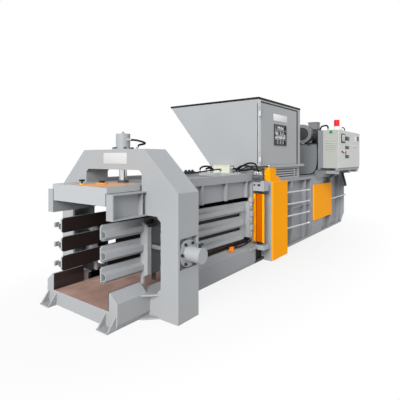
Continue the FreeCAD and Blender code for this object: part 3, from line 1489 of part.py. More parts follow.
def cabinet():
    """Control cabinet: open-fronted case with louvres and a cable duct, and its mounting plate with modules."""
    face = "cabinet_door + leaf_gap - cabinet_front"
    level = ("cabinet_low", "cabinet_top")
    case = block("cabinet_case", ("cabinet_x", CABINET_REAR), (face, "-cabinet_back"), level)
    inside = block(
        "cabinet_inside", ("cabinet_x + sheet_thick", f"{CABINET_REAR} - sheet_thick"),
        (f"{face} - sheet_thick", "-cabinet_back - sheet_thick"),
        ("cabinet_low + sheet_thick", "cabinet_top - sheet_thick"),
    )
    plate_y = ("-cabinet_back - 3 * sheet_thick", "-cabinet_back - sheet_thick")
    plate = block(
        "mounting_plate", ("cabinet_x + module_pitch", f"{CABINET_REAR} - module_pitch"), plate_y,
        ("cabinet_low + module_pitch / 2", "cabinet_top - module_pitch / 2"),
    )
    gear = [plate]
    module_y = (f"{plate_y[0]} - module_depth", plate_y[0])
    for index in range(MODULES):
        low = f"cabinet_x + module_pitch * ({index} + 1.5)"
        for row, base in enumerate(("cabinet_low + module_pitch", "cabinet_low + module_pitch * 3.5")):
            level_z = (base, f"{base} + module_pitch * 1.5")
            gear.append(block(f"module_{row}_{index}", (low, f"{low} + module_pitch * 0.8"), module_y, level_z))
    node("cabinet_gear", *gear)
    pieces = [cut("cabinet_shell", case, [inside])]
    for index in range(LOUVRES):
        low = f"louvre_z + {index} * louvre_pitch"
        wedge = [("cabinet_x", low), ("cabinet_x - louvre_depth", low), ("cabinet_x", f"{low} + louvre_pitch * 0.8")]
        pieces.append(prism(f"louvre_{index}", "y", [wedge], "-louvre_out", "-louvre_in"))
    pieces.append(block("cable_duct", ("cabinet_x", "cabinet_x + duct_length"), ("-cabinet_back", "-duct_back"), level))
    node("cabinet", *pieces)
    lamp = ("beacon_x", "-beacon_y")
    foot_top = "cabinet_top + beacon_foot"
    foot = rod("beacon_base", "z", "beacon_radius * 0.97", "cabinet_top", foot_top, *lamp, sides=NEARLY_ROUND)
    lens = rod("beacon_lens", "z", "beacon_radius", foot_top, f"{foot_top} + beacon_height", *lamp,
               sides=NEARLY_ROUND)
    node("beacon", foot, lens)


MODULES = 9
LOUVRES = 5


def door_control(name, spot, radius, stem, stand_off, head, edges=0):
    """Round operator on the cabinet door, with a stem that runs in the door's sheet."""
    face = "-cabinet_front"
    shaft = rod(f"{name}_stem", "y", stem, f"{face} - {stand_off}", f"{face} + cabinet_door / 2", spot[0], z=spot[1],
                sides=edges)
    knob = rod(f"{name}_head", "y", radius, f"{face} - {stand_off} - {head}", f"{face} - {stand_off}", spot[0],
               z=spot[1], sides=NEARLY_ROUND)
    bore = rod(f"{name}_bore", "y", f"{stem} + pin_slack", f"{face} - {stand_off}", face + " + cabinet_door", spot[0],
               z=spot[1])
    return [shaft, knob], bore


def cabinet_door():
    """Cabinet door: a folded tray with meter, display and lock, and its operators."""
    along = ("cabinet_x + door_gap", f"{CABINET_REAR} - door_gap")
    level = ("cabinet_low + door_gap", "cabinet_top - door_gap")
    face = "-cabinet_front"
    tray = block("cabinet_tray", along, (face, "cabinet_door - cabinet_front"), level)
    hollow = block(
        "cabinet_hollow", (f"{along[0]} + sheet_thick", f"{along[1]} - sheet_thick"),
        (f"{face} + sheet_thick", "2 * cabinet_door - cabinet_front"),
        (f"{level[0]} + sheet_thick", f"{level[1]} - sheet_thick"),
    )
    proud = (f"{face} - bezel", face)
    fittings = [
        block("meter", ("meter_x", "meter_x + meter_length"), proud, ("meter_z", "meter_z + meter_height")),
        block("display", ("display_x", "display_x + display_length"), proud, ("display_z", "display_z + display_height")),
        rod("door_lock", "y", "lock_radius", *proud, "lock_x", z="lock_z", sides=OCTAGON),
        rod("stop_ring", "y", "stop_radius * 1.2", *proud, "stop_x", z="stop_z", sides=NEARLY_ROUND),
    ]
    stop, stop_bore = door_control("stop", ("stop_x", "stop_z"), "stop_radius", "control_stem", "2 * bezel", "stop_head",
                                   OCTAGON)
    push, push_bore = door_control("push", ("push_x", "push_z"), "push_radius", "control_stem", "bezel", "bezel", OCTAGON)
    dial, dial_bore = door_control("dial", ("dial_x", "dial_z"), "push_radius", "control_stem", "seat_gap", "bezel")
    hold, hold_bore = door_control("hold", ("handle_x", "handle_z"), "push_radius", "control_stem", "seat_gap", "bezel")
    solid = fused("cabinet_door_solid", [cut("cabinet_door_shell", tray, [hollow])] + fittings)
    node("cabinet_door", cut("cabinet_door_whole", solid, [stop_bore, push_bore, dial_bore, hold_bore]))
    node("stop_button", *stop)
    node("push_button", *push)
    grip = (f"{face} - 3 * bezel", f"{face} - bezel")
    bar = block("dial_bar", ("dial_x - bezel / 2", "dial_x + bezel / 2"), grip,
                ("dial_z - push_radius", "dial_z + push_radius"))
    node("selector", *dial, bar)
    lever = block("handle_lever", ("handle_x - push_radius", "handle_x + push_radius"), grip,
                  ("handle_z - handle_length", "handle_z + push_radius"))
    node("door_handle", *hold, lever)


BEND_CHORD = math.radians(28)


def hose(name, radius, points):
    """Many-sided tube along straight runs, whose bends are as large as the runs allow."""
    corners = [Vector(*point) for point in points]
    path = [corners[0]]
    bends = []
    for before, here, after in zip(corners, corners[1:], corners[2:]):
        back = before - here
        ahead = after - here
        reach = 0.45 * min(back.Length, ahead.Length)
        turn = math.pi - back.getAngle(ahead)
        bend = reach / math.tan(turn / 2)
        back.normalize()
        ahead.normalize()
        middle = (back + ahead).normalize() * (math.hypot(reach, bend) - bend)
        arc = Part.Arc(here + back * reach, here + middle, here + ahead * reach).toShape()
        path += arc.discretize(1 + max(1, round(turn / BEND_CHORD)))
        bends.append(bend)
    path.append(corners[-1])
    line = Part.makePolygon(path)
    circle = Part.Circle(corners[0], corners[1] - corners[0], radius).toShape()
    ring = Part.makePolygon(circle.discretize(HEXAGON + 1))
    tube = doc.addObject("Part::Feature", name)
    tube.Shape = line.makePipeShell([ring], True, False, 1)
    full = Part.Face(ring).Area * line.Length
    if abs(tube.Shape.Volume / full - 1) > 0.01:
        raise ValueError(f"{name} is not a clean tube")
    print(name, "length", round(line.Length), "smallest bend", round(min(bends)))
    return tube


def bridge_hoses():
    """Hydraulic hoses from the box on the bridge, each held at both ends."""
    thick = size("hose_radius")
    thin = thick * 0.8
    step = 2 * thick
    half = size("portal_depth") / 2
    port = -size("top_barrel") - size("port_reach")
    port_z = size("top_port_z")
    crown = size("portal_top")
    box = size("junction_x")
    bridge = size("beam_top")
    edge = size("beam_half")
    middle = box + size("junction_length") / 2
    far = size("junction_far")
    near = -size("junction_near")
    motor = size("twist_x") - 1.5 * size("twist_motor")
    motor_top = size("tie_top_high") + size("tie_plate") + 2 * size("twist_case")
    twist = -size("twist_half")
    cover = (size("guard_x") + 2.3 * step, -size("top_guard_in") - 2 * step)
    cover_top = size("top_guard_top")
    return [
        hose("press_line", thick, [
            (0, port, port_z),
            (0, port - 2.3 * step, port_z),
            (0, port - 5.2 * step, port_z - 0.5 * step),
            (0.5 * step, port - 7 * step, port_z - 0.9 * step),
            (1.8 * step, port - 7.6 * step, port_z - 1.3 * step),
            (3 * step, port - 6.6 * step, port_z - 1.7 * step),
            (3.3 * step, port - 4.6 * step, port_z - 2 * step),
            (3.3 * step, port - 2.2 * step, port_z - 2 * step),
            (3.3 * step, port - 2.2 * step, crown),
        ]),
        hose("deck_line", thick, [
            (half + 10 * step, 1.5 * step - edge, bridge),
            (half + 10 * step, 1.5 * step - edge, bridge + 2 * step),
            (half + 13 * step, 3 * step - edge, bridge + 3 * step),
            (0.33 * box, -9.5 * step, bridge + 1.4 * step),
            (0.57 * box, -3.5 * step, bridge + 1.4 * step),
            (0.78 * box, 0, bridge + 2 * step),
            (box - 4.5 * step, 2 * step, bridge + 2.7 * step),
            (box, 2 * step, bridge + 2.7 * step),
        ]),
        hose("far_line_one", thick, [
            (middle - 0.8 * step, far, bridge + 4 * step),
            (middle - 0.8 * step, far + 2.7 * step, bridge + 4 * step),
            (middle - 0.8 * step, far + 7.3 * step, bridge + 4.2 * step),
            (middle - step, far + 11.5 * step, bridge + 4 * step),
            (middle - 1.15 * step, far + 13.9 * step, bridge + 2 * step),
            (middle - 1.15 * step, far + 13.9 * step, bridge),
        ]),
        hose("far_line_two", thick, [
            (middle + 1.15 * step, far, bridge + 2.3 * step),
            (middle + 1.15 * step, far + 2.3 * step, bridge + 2.3 * step),
            (middle + 1.1 * step, far + 5.4 * step, bridge + 3 * step),
            (middle + step, far + 8.8 * step, bridge + 2.3 * step),
            (middle + step, far + 10 * step, bridge + 1.3 * step),
            (middle + step, far + 10 * step, bridge),
        ]),
        hose("twist_line_one", thick, [
            (middle - 0.8 * step, near, bridge + 3.5 * step),
            (middle - 0.8 * step, near - 2.7 * step, bridge + 3.5 * step),
            (middle - 1.6 * step, near - 7.5 * step, bridge + 3.2 * step),
            (middle - 2 * step, near - 11 * step, bridge + 6 * step),
            (middle - 2 * step, near - 16 * step, bridge + 8 * step),
            (motor, near - 21 * step, bridge + 7.6 * step),
            (motor, twist - 0.3 * step, motor_top + 4.6 * step),
            (motor, twist - 0.3 * step, motor_top),
        ]),
        hose("twist_line_two", thick, [
            (box + 0.4 * step, near - 5.5 * step, bridge),
            (box + 0.4 * step, near - 5.5 * step, bridge + 1.6 * step),
            (box - 1.8 * step, near - 8.5 * step, bridge + 4.4 * step),
            (box - 2.4 * step, near - 13 * step, bridge + 6.4 * step),
            (motor, near - 17.5 * step, bridge + 5.4 * step),
            (motor, twist + 1.6 * step, motor_top + 2.6 * step),
            (motor, twist + 1.6 * step, motor_top),
        ]),
        hose("twist_line_three", thick, [
            (box + 2 * step, near - 6.6 * step, bridge),
            (box + 2 * step, near - 6.6 * step, bridge + 1.6 * step),
            (box + 1.2 * step, near - 10 * step, bridge + 3 * step),
            (box - 1.2 * step, near - 14.5 * step, bridge + 3.4 * step),
            (motor - 2.4 * step, near - 20 * step, bridge + 4 * step),
            (motor, twist - 2.2 * step, motor_top + 3.4 * step),
            (motor, twist - 2.2 * step, motor_top),
        ]),
        hose("cover_line", thin, [
            (middle + 1.5 * step, near, bridge + 2 * step),
            (middle + 1.5 * step, near - 3 * step, bridge + 2 * step),
            (middle + 2 * step, near - 7.5 * step, bridge + 2.8 * step),
            (middle + 2 * step, near - 12 * step, bridge + 4.2 * step),
            (middle + 1.7 * step, near - 16.3 * step, bridge + 4.8 * step),
            (middle + 2 * step, near - 21 * step, bridge + 5 * step),
            (middle + 3.8 * step, near - 23.4 * step, bridge + 5.2 * step),
            (cover[0] - 3.5 * step, cover[1], bridge + 5.2 * step),
            (cover[0], cover[1], cover_top + 1.5 * step),
            (cover[0], cover[1], cover_top),
        ]),
    ]


def power_hoses():
    """Oil and control lines at the tank and the cabinet."""
    thick = size("hose_radius")
    thin = thick * 0.8
    step = 2 * thick
    front = size("cooler_x")
    edge = size("tank_x") - size("tank_lid") - 1.6 * thin
    wall = -size("tank_near")
    cooler = size("cooler_top")
    deck = size("side_top")
    rear = size("feed_x") + size("feed_length") + size("seat_gap")
    lamp = size("cabinet_x") + 5 * step
    roof = size("cabinet_top")
    back = -size("cabinet_back")
    loop_x = size("cabinet_x") + 14.5 * step
    loop_y = 1.9 * step - size("cabinet_front")
    return [
        hose("tank_line", thin, [
            (front, wall + 1.5 * step, cooler - 3.1 * step),
            (front - 5 * step, wall + 1.5 * step, cooler - 3.1 * step),
            (edge + 2.3 * step, wall + 0.6 * step, cooler - 4.7 * step),
            (edge, wall + 0.2 * step, cooler - 8.5 * step),
            (edge, wall, size("tank_top") - 5.6 * step),
            (edge, wall, deck + 14 * step),
            (edge - 0.4 * step, wall + 0.4 * step, deck + 7 * step),
            (edge - 4.6 * step, wall + 1.4 * step, deck + 2.7 * step),
            (edge - 12.7 * step, wall + 1.5 * step, deck + 1.4 * step),
            (rear + 17 * step, wall + 1.5 * step, deck + 1.7 * step),
            (rear + 7 * step, wall + 1.5 * step, deck + 1.9 * step),
            (rear, wall + 1.5 * step, deck + 1.9 * step),
        ]),
        hose("cabinet_line", thick, [
            (front + 2.3 * step, wall + 1.9 * step, cooler),
            (front + 2.3 * step, wall + 1.9 * step, cooler + 2.3 * step),
            (front - 1.5 * step, wall - 0.4 * step, cooler + 3.4 * step),
            (front - 10 * step, wall - 3.8 * step, cooler + 2.8 * step),
            (lamp + 2.3 * step, back + 1.8 * step, cooler + 2.8 * step),
            (lamp, back - 2 * step, roof + 3.5 * step),
            (lamp, back - 3.2 * step, roof + 2 * step),
            (lamp, back - 3.2 * step, roof),
        ]),
        hose("cabinet_loop", thin, [
            (loop_x, loop_y, roof),
            (loop_x, loop_y, roof + 1.6 * step),
            (loop_x + 2.7 * step, loop_y, roof + 2.9 * step),
            (loop_x + 7.3 * step, loop_y, roof + 2.9 * step),
            (loop_x + 10.5 * step, loop_y, roof + 1.8 * step),
            (loop_x + 10.5 * step, loop_y, roof),
        ]),
    ]


def main_cable():
    """Thick cable from under the cabinet's duct to the tail plate."""
    step = 2 * size("cable_radius")
    duct = size("cabinet_x") + size("duct_length")
    back = -size("cabinet_back")
    low = size("cabinet_low")
    deck = size("side_top")
    tail = size("tail_x")
    wall = -size("tail_half")
    return hose("main_cable", size("cable_radius"), [
        (duct - 0.6 * step, back - 0.5 * step, low),
        (duct - 0.6 * step, back - 0.5 * step, low - 1.4 * step),
        (duct + 0.8 * step, back - 0.5 * step, deck),
        (duct + 4 * step, back - 0.5 * step, deck - 2.9 * step),
        (tail - 7.2 * step, back, deck - 5.5 * step),
        (tail - 3.1 * step, back + 0.75 * step, deck - 6.9 * step),
        (tail + 0.7 * step, back + 1.3 * step, deck - 7.5 * step),
        (tail + 2.3 * step, wall + 0.5 * step, deck - 7.5 * step),
        (tail + 2.5 * step, wall + 2.8 * step, deck - 7.5 * step),
        (tail + 1.7 * step, wall + 4.1 * step, deck - 7.5 * step),
        (tail, wall + 4.1 * step, deck - 7.5 * step),
    ])


def hoses():
    """All hoses as one sub-part, and the cabinet's cable as another."""
    node("hoses", *bridge_hoses(), *power_hoses())
    node("cabinet_cable", main_cable())


def controls_and_power():
    """Everything at the rear: tank, motor, stand, cabinet and their lines."""
    tank()
    motor()
    stand()
    cabinet()
    cabinet_door()
    hoses()


def feed_and_tail():
    """Walls, covers, ram and hopper behind the tying bay."""
    for name, side in SIDES.items():
        node(f"side_wall_{name}", *side_wall(name, side), *side_ribs(name, side))
    tail_end()
    ram()
    main_cylinder()
    side_panel()
    hopper()
    hopper_seals()
    hopper_door()


def exit_and_chamber():
    """Portal, chute, chamber, side arms, press plate and their cylinders."""
    portal()
    chute()
    channel_floor()
    posts = []
    beams = []
    for name, side in SIDES.items():
        chamber_side(name, side)
        arm(name, side)
        posts += hinge_post(name, side)
        beams += press_beam(name, side)
    node("hinge_posts", *posts)
    node("press_beams", *beams)
    node("side_cylinders", *[side_cylinder(name, side) for name, side in SIDES.items()])
    press_plate()
    clamp_screws()
    top_cylinder()
    side_ports()
    cylinder_bolts()


def tying_bay():
    """Tying unit, its guards, the wire tubes and the cable box."""
    tying_unit()
    guard_boxes()
    wire_tubes()
    junction_box()


exit_and_chamber()
feed_and_tail()
tying_bay()
controls_and_power()
doc.recompute()

for item in doc.Objects:
    if "Invalid" in item.State or "Error" in item.State:
        raise ValueError(f"{item.Name} did not build: {item.State}")
for label, item in nodes.items():
    if item.Shape.isNull() or not item.Shape.isValid() or not item.Shape.Solids:
        raise ValueError(f"{label} has no valid shape")

os.makedirs("parts", exist_ok=True)
for label, item in nodes.items():
    item.Shape.exportStep(os.path.join("parts", label + ".step"))
print(len(nodes), "sub-parts written")
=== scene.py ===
# %% [markdown]
# # A horizontal baler, dressed for the camera
#
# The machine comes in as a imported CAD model. Its plates, cylinders and boxes are already in place,
# so this notebook adds what CAD leaves out: paint, steel, rubber, light, and small fittings such as
# bolts, hose ends and name plates. Everything is in metres, in the frame of the CAD model.

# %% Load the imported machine
import math

import bmesh
import bpy
from mathutils import Matrix, Vector


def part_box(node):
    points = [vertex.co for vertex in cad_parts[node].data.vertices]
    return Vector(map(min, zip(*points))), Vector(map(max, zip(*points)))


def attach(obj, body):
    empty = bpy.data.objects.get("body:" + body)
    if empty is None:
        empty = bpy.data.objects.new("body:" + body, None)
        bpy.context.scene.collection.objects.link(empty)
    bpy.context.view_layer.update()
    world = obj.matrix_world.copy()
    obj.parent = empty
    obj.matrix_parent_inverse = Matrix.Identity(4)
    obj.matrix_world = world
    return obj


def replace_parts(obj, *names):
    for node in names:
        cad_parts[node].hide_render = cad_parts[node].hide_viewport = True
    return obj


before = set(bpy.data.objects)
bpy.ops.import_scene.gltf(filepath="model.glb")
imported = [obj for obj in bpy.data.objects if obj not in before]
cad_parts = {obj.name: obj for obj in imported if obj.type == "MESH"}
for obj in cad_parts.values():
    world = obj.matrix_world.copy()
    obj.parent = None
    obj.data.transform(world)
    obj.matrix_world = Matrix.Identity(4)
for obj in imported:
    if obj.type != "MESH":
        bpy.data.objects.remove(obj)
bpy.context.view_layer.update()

# %% [markdown]
# ## Camera
#
# The machine is seen from its bale exit, a little to the operator's side. Its upright edges stay
# upright, so the camera is level, and a shift of the lens, not a tilt, frames the object.

# %% Place the level camera
HEADING = math.radians(37.1)
lens = bpy.data.cameras.new("Camera")
lens.lens = 32.43
lens.sensor_width = 36
lens.shift_y = -0.1057
camera = bpy.data.objects.new("Camera", lens)
camera.location = (-3.242, -3.749, 1.877)
camera.rotation_euler = (math.pi / 2, 0, HEADING - math.pi / 2)
bpy.context.scene.collection.objects.link(camera)
bpy.context.scene.camera = camera
bpy.context.scene.view_settings.view_transform = "Standard"
print("camera at", tuple(round(value, 3) for value in camera.location))

# %% [markdown]
# ## Shader maths
#
# A finish is easier to read as a sum or a product than as a row of nodes. One small class wraps a
# socket, so that `0.3 + 0.2 * speck` adds the Math nodes itself. A second class holds a material
# and adds every other node by its type, its settings and the values of its sockets.


# %% A socket that can be used like a number
class Signal:
    """A value that changes over the surface."""

    def __init__(self, finish, socket):
        self.finish = finish
        self.socket = socket

    def __add__(self, other):
        return self.finish.maths("ADD", self, other)

    def __sub__(self, other):
        return self.finish.maths("SUBTRACT", self, other)

    def __rsub__(self, other):
        return self.finish.maths("SUBTRACT", other, self)

    def __mul__(self, other):
        return self.finish.maths("MULTIPLY", self, other)

    def __gt__(self, other):
        return self.finish.maths("GREATER_THAN", self, other)

    def __lt__(self, other):
        return self.finish.maths("LESS_THAN", self, other)

    __radd__ = __add__
    __rmul__ = __mul__

    def size(self):
        """Value without its sign."""
        return self.finish.maths("ABSOLUTE", self)

    def limited(self):
        """Value held between 0 and 1."""
        return self.finish.add("ShaderNodeClamp", {}, {"Value": self}, "Result")


# %% A material with short ways to add nodes
class Finish:
    """A material around one Principled shader."""

    def __init__(self, name, **values):
        self.material = bpy.data.materials.new(name)
        self.material.use_nodes = True
        self.tree = self.material.node_tree
        self.shader = self.tree.nodes["Principled BSDF"]
        self.feed(self.shader, {key.replace("_", " "): value for key, value in values.items()})

    def feed(self, node, values):
        """Link signals to a node's inputs, and set plain values on them."""
        for key, value in values.items():
            if isinstance(value, Signal):
                self.tree.links.new(value.socket, node.inputs[key])
            else:
                node.inputs[key].default_value = value

    def add(self, kind, settings, values, output=0):
        """A new node's output."""
        node = self.tree.nodes.new(kind)
        for key, value in settings.items():
            setattr(node, key, value)
        self.feed(node, values)
        return Signal(self, node.outputs[output])

    def maths(self, operation, *values):
        return self.add("ShaderNodeMath", {"operation": operation}, dict(enumerate(values)))

    def mix(self, factor, first, second):
        """A colour between two colours."""
        return self.add("ShaderNodeMix", {"data_type": "RGBA"}, {0: factor, 6: first, 7: second}, 2)

    def place(self, stretch=(1, 1, 1)):
        """Place in the object's own coordinates."""
        where = self.add("ShaderNodeTexCoord", {}, {}, "Object")
        return self.add("ShaderNodeMapping", {}, {"Vector": where, "Scale": stretch})

    def axis(self, name):
        return self.add("ShaderNodeSeparateXYZ", {}, {"Vector": self.place()}, name)

    def noise(self, scale, detail=3, stretch=(1, 1, 1)):
        values = {"Vector": self.place(stretch), "Scale": scale, "Detail": detail}
        return self.add("ShaderNodeTexNoise", {}, values, "Fac")

    def bump(self, height, depth):
        """Relief of a real depth in metres."""
        values = {"Height": height, "Distance": depth, "Strength": 1}
        self.feed(self.shader, {"Normal": self.add("ShaderNodeBump", {}, values, "Normal")})

    def inside(self, zone):
        """1 between the limits of a zone; a limit of None leaves that side open."""
        tests = []
        for name, (low, high) in zone.items():
            along = self.axis(name)
            if low is not None:
                tests.append(along > low)
            if high is not None:
                tests.append(along < high)
        return math.prod(tests[1:], start=tests[0])


def rgb(red, green, blue):
    """Shader colour from the 0-255 values that a paint chart gives."""
    def linear(value):
        value /= 255
        return value / 12.92 if value <= 0.04045 else ((value + 0.055) / 1.055) ** 2.4
    return (linear(red), linear(green), linear(blue), 1)


def shaded(colour, share):
    """A colour made darker or lighter by a share."""
    return tuple(min(1, value * share) for value in colour[:3]) + (1,)


# %% [markdown]
# ## Paint
#
# Welded machines are sprayed with a half-gloss enamel. Seen close, it has a fine orange peel, its
# tone drifts a little from plate to plate, and it gathers dust near the floor. Noise at three
# scales gives these, from the object's own coordinates, so that the pattern runs on across plates.


# %% Machine enamel
FLOOR_DUST = rgb(120, 112, 104)


def enamel(name, colour, dust=0.25, gloss=0.46, peel=0.00006, shine=0.35):
    """Sprayed paint with drift, specks, orange peel and floor dust."""
    paint = Finish(name, Specular_IOR_Level=shine)
    drift = paint.noise(0.8, 2)
    speck = paint.noise(60, 4)
    low = (0.45 - paint.axis("Z")) * 2.2
    dirt = (low * speck * dust).limited()
    tone = paint.mix(drift * 0.75 + speck * 0.25, shaded(colour, 0.9), shaded(colour, 1.07))
    tone = paint.mix(dirt, tone, FLOOR_DUST)
    roughness = gloss - 0.06 + drift * 0.1 + dirt * 0.3
    paint.feed(paint.shader, {"Base Color": tone, "Roughness": roughness})
    paint.bump(paint.noise(140, 2), peel)
    paint.tone = tone
    return paint


GREY = rgb(160, 162, 164)
grey_paint = enamel("grey_enamel", GREY)
cream_paint = enamel("cream_enamel", rgb(202, 203, 186), dust=0)
plate_metal = enamel("bare_plate", rgb(196, 197, 198), dust=0, gloss=0.4, peel=0.00002)
# The door's plate is a lighter copy of the same bare plate: painted light.
door_plate_lightened = enamel("bare_door_plate_lightened", rgb(226, 226, 227), dust=0, gloss=0.4, peel=0.00002)

# %% [markdown]
# Some CAD pieces carry two finishes. The inner face of each side arm is bare wear plate while the
# rest is painted, and the press plate has an orange top with yellow seats for its clamp knobs. A
# mask from the object's coordinates picks the finish, so the CAD mesh stays as it is. The zones
# below hold the limits of each mask, in metres.
#
# The portal's far foot, the chamber's ledge and the foot of the tying bay are dark because the
# photo is dark there. On the ledge under the lowest rail, on the rubbed channel side of the walls
# and at the foot of the tying bay the dark is painted shade. At the far foot what is really there
# can't be seen: the photo may show the chute's liner running on.

# %% Zones of the second finish
WEAR_BROWN = rgb(44, 34, 33)
NEAR_BLACK = rgb(20, 20, 21)
# Painted shade on the ledge, the walls' channel side and the tying bay's foot; also the portal's
# dark far foot.
SHADE_AND_FOOT_DARK = rgb(24, 20, 19)
# Painted shade on the arm's root, which lies in the portal's shadow.
ROOT_SHADE_GREY = rgb(66, 67, 69)

BALE_SIDE = {"Y": (-0.5515, 0.5515), "Z": (None, 1.2)}
PORTAL_FAR_FOOT = {"X": (-0.11, 0.17), "Y": (0.5, 1.07), "Z": (0.1, 0.3)}
# The ledge under the lowest rail and the tying bay's foot get painted shade.
CHAMBER_LEDGE_SHADE = {"X": (0.25, None), "Z": (0.4, 0.43)}
TYING_BAY_FOOT_SHADE = {"X": (None, 2.76), "Z": (None, 0.27)}
# The arm's root and its lowest edge get painted shade.
ARM_ROOT_SHADOW = {"X": (-0.046, 0.19)}
ARM_LOW_EDGE_SHADOW = {"X": (0.2, None), "Z": (None, 0.493)}
HOPPER_POST = {"X": (None, 2.69), "Y": (None, -0.655), "Z": (1.74, None)}
FLOOR_FRONT = {"X": (None, -0.677)}
# The trough's recess gets a darker orange: painted shade.
TROUGH_RECESS_SHADE = {"X": (2.453, 2.5), "Y": (-0.836, -0.664)}
CABINET_DOOR_EDGE = {"X": (None, 5.4775)}
WINDOW_BARS = {"X": (3.268, 3.773), "Z": (2.151, 2.504)}
CABINET_RAIL = {"X": (None, 7.24), "Y": (None, -0.94)}
CABINET_BRACKET = {"X": (7.24, None), "Z": (None, 1.585)}
FAN_END = {"X": (None, 5.6895)}
DUCT = {"Y": (-0.8785, None)}
LOUVRES = {"X": (None, 5.4725), "Y": (-1.185, -0.93), "Z": (2.04, 2.27)}
BEACON_FOOT = {"Z": (None, 2.6242)}
PRESS_TOP = {"Z": (1.5444, 1.5456)}
PRESS_SEATS = {"X": (None, -0.25), "Z": (1.5456, 1.5596)}
PRESS_BOSS = {"X": (-0.25, None), "Z": (1.5456, None)}
# Under the portal the press plate's top gets painted shade.
PRESS_SHADE_UNDER_PORTAL = {"X": (0.02, None)}


# %% Two-tone pieces
def repainted(name, colour, mask_of, other, roughness=None, **coat):
    """Enamel that turns into another colour in a zone, or where a mask function gives 1."""
    paint = enamel(name, colour, **coat)
    mask = mask_of(paint) if callable(mask_of) else paint.inside(mask_of)
    tint = paint.mix(paint.noise(25, 5), shaded(other, 0.8), shaded(other, 1.2))
    paint.feed(paint.shader, {"Base Color": paint.mix(mask, paint.tone, tint)})
    if roughness is not None:
        paint.feed(paint.shader, {"Roughness": 0.4 + mask * (roughness - 0.4)})
    return paint


ARM_HINGE = (2.33, 0.64)
ARM_FACE = ARM_HINGE[1] - 0.0905
ARM_LEAN = math.tan(math.radians(3.33))


def wear_face(paint):
    """1 on the face of a side arm that meets the bale."""
    face = ARM_FACE - (ARM_HINGE[0] - paint.axis("X")) * ARM_LEAN
    return paint.axis("Y").size() < face + 0.006


def arm_finish():
    """Grey arm with a bare wear face, and painted shade at its root and along its lowest edge."""
    paint = enamel("arm_enamel", GREY)
    # Painted shade: dark grey at the root, near black along the lowest edge under the rail.
    root_and_edge_shade = paint.mix(paint.inside(ARM_ROOT_SHADOW), paint.tone, ROOT_SHADE_GREY)
    root_and_edge_shade = paint.mix(paint.inside(ARM_LOW_EDGE_SHADOW), root_and_edge_shade, NEAR_BLACK)
    worn = wear_face(paint)
    tone = paint.mix(worn, root_and_edge_shade, WEAR_BROWN)
    paint.feed(paint.shader, {"Base Color": tone, "Roughness": 0.4 + worn * 0.15})
    return paint


def stand_finish():
    """Grey stand with a lighter rail under the cabinet and a pale bracket behind it."""
    paint = enamel("stand_enamel", rgb(108, 111, 114), dust=0)
    tone = paint.mix(paint.inside(CABINET_RAIL), paint.tone, rgb(138, 141, 144))
    tone = paint.mix(paint.inside(CABINET_BRACKET), tone, rgb(190, 191, 188))
    paint.feed(paint.shader, {"Base Color": tone})
    return paint


# %% Masks with more than one zone
def channel_and_ledge_shade(paint):
    """1 on the base walls' channel side and their ledge under the lowest rail: painted shade."""
    return (paint.inside(BALE_SIDE) + paint.inside(CHAMBER_LEDGE_SHADE)).limited()


def rubbed_and_shaded_wall(paint):
    """1 on the rubbed side of a channel wall and on its foot in the tying bay: painted shade."""
    return (paint.inside(BALE_SIDE) + paint.inside(TYING_BAY_FOOT_SHADE)).limited()


def fan_grille(paint):
    """1 on the motor's black end grille, less on its wire rings."""
    up, across = paint.axis("Z") - 2.488, paint.axis("Y") + 0.272
    rings = paint.maths("FRACT", paint.maths("SQRT", up * up + across * across) * 30) > 0.6
    return paint.inside(FAN_END) * (1 - rings * 0.4)


def duct_and_louvres(paint):
    """1 on the wiring duct behind the cabinet, and less in the louvre slots: painted shade."""
    pitch = 0.046
    # The slots under the louvres are painted darker: painted shade.
    slot = paint.maths("FRACT", (paint.axis("Z") - LOUVRES["Z"][0]) * (1 / pitch)) > 0.72
    return (paint.inside(DUCT) + slot * paint.inside(LOUVRES) * 0.6).limited()


# %% Paints of the machine
arm_paint = arm_finish()
stand_paint = stand_finish()
# The tank is a darker grey than the machine: painted shade of the hopper.
tank_shaded_paint = enamel("tank_enamel_shaded", rgb(116, 119, 121))
# The walls are a darker grey than the machine, and darker still on the channel side and at the tying
# bay's foot: painted shade.
wall_shaded_paint = repainted("wall_enamel_shaded", rgb(136, 138, 142), rubbed_and_shaded_wall, SHADE_AND_FOOT_DARK, roughness=0.6)
hopper_paint = repainted("hopper_enamel", GREY, HOPPER_POST, rgb(196, 198, 200))
portal_paint = repainted("portal_enamel", GREY, PORTAL_FAR_FOOT, SHADE_AND_FOOT_DARK, roughness=0.6)
# The chamber's ledge and the channel side of its walls get painted shade.
chamber_paint = repainted("chamber_enamel", rgb(148, 150, 154), channel_and_ledge_shade, SHADE_AND_FOOT_DARK, roughness=0.6)
motor_paint = repainted("motor_enamel", rgb(116, 118, 120), fan_grille, rgb(22, 22, 23))
shell_paint = repainted(
    "cabinet_shell_coat", rgb(164, 165, 159), duct_and_louvres, rgb(120, 122, 126)
)
# The trough's recess is painted a darker orange: painted shade of the chamber and portal.
orange_paint = repainted(
    "orange_enamel", rgb(255, 162, 0), TROUGH_RECESS_SHADE, rgb(186, 92, 0),
    dust=0.02, gloss=0.55, shine=0.05,
)
cabinet_paint = repainted(
    "cabinet_powder_coat", rgb(204, 205, 203), CABINET_DOOR_EDGE, rgb(176, 177, 174),
    dust=0, gloss=0.6, shine=0.12,
)
window_paint = repainted(
    "window_enamel", rgb(14, 14, 15), WINDOW_BARS, rgb(150, 152, 154), dust=0
)
print("paints", len(bpy.data.materials))

# %% [markdown]
# ## Press plate
#
# The plate's top is orange, rubbed and dusty towards the near side, where it fades to grey. Its
# orange is drawn pale, a painted sheen, and under the portal the top gets painted shade. Its two
# clamp knobs stand on yellow seats. The worn patch is an oval with a noisy edge.


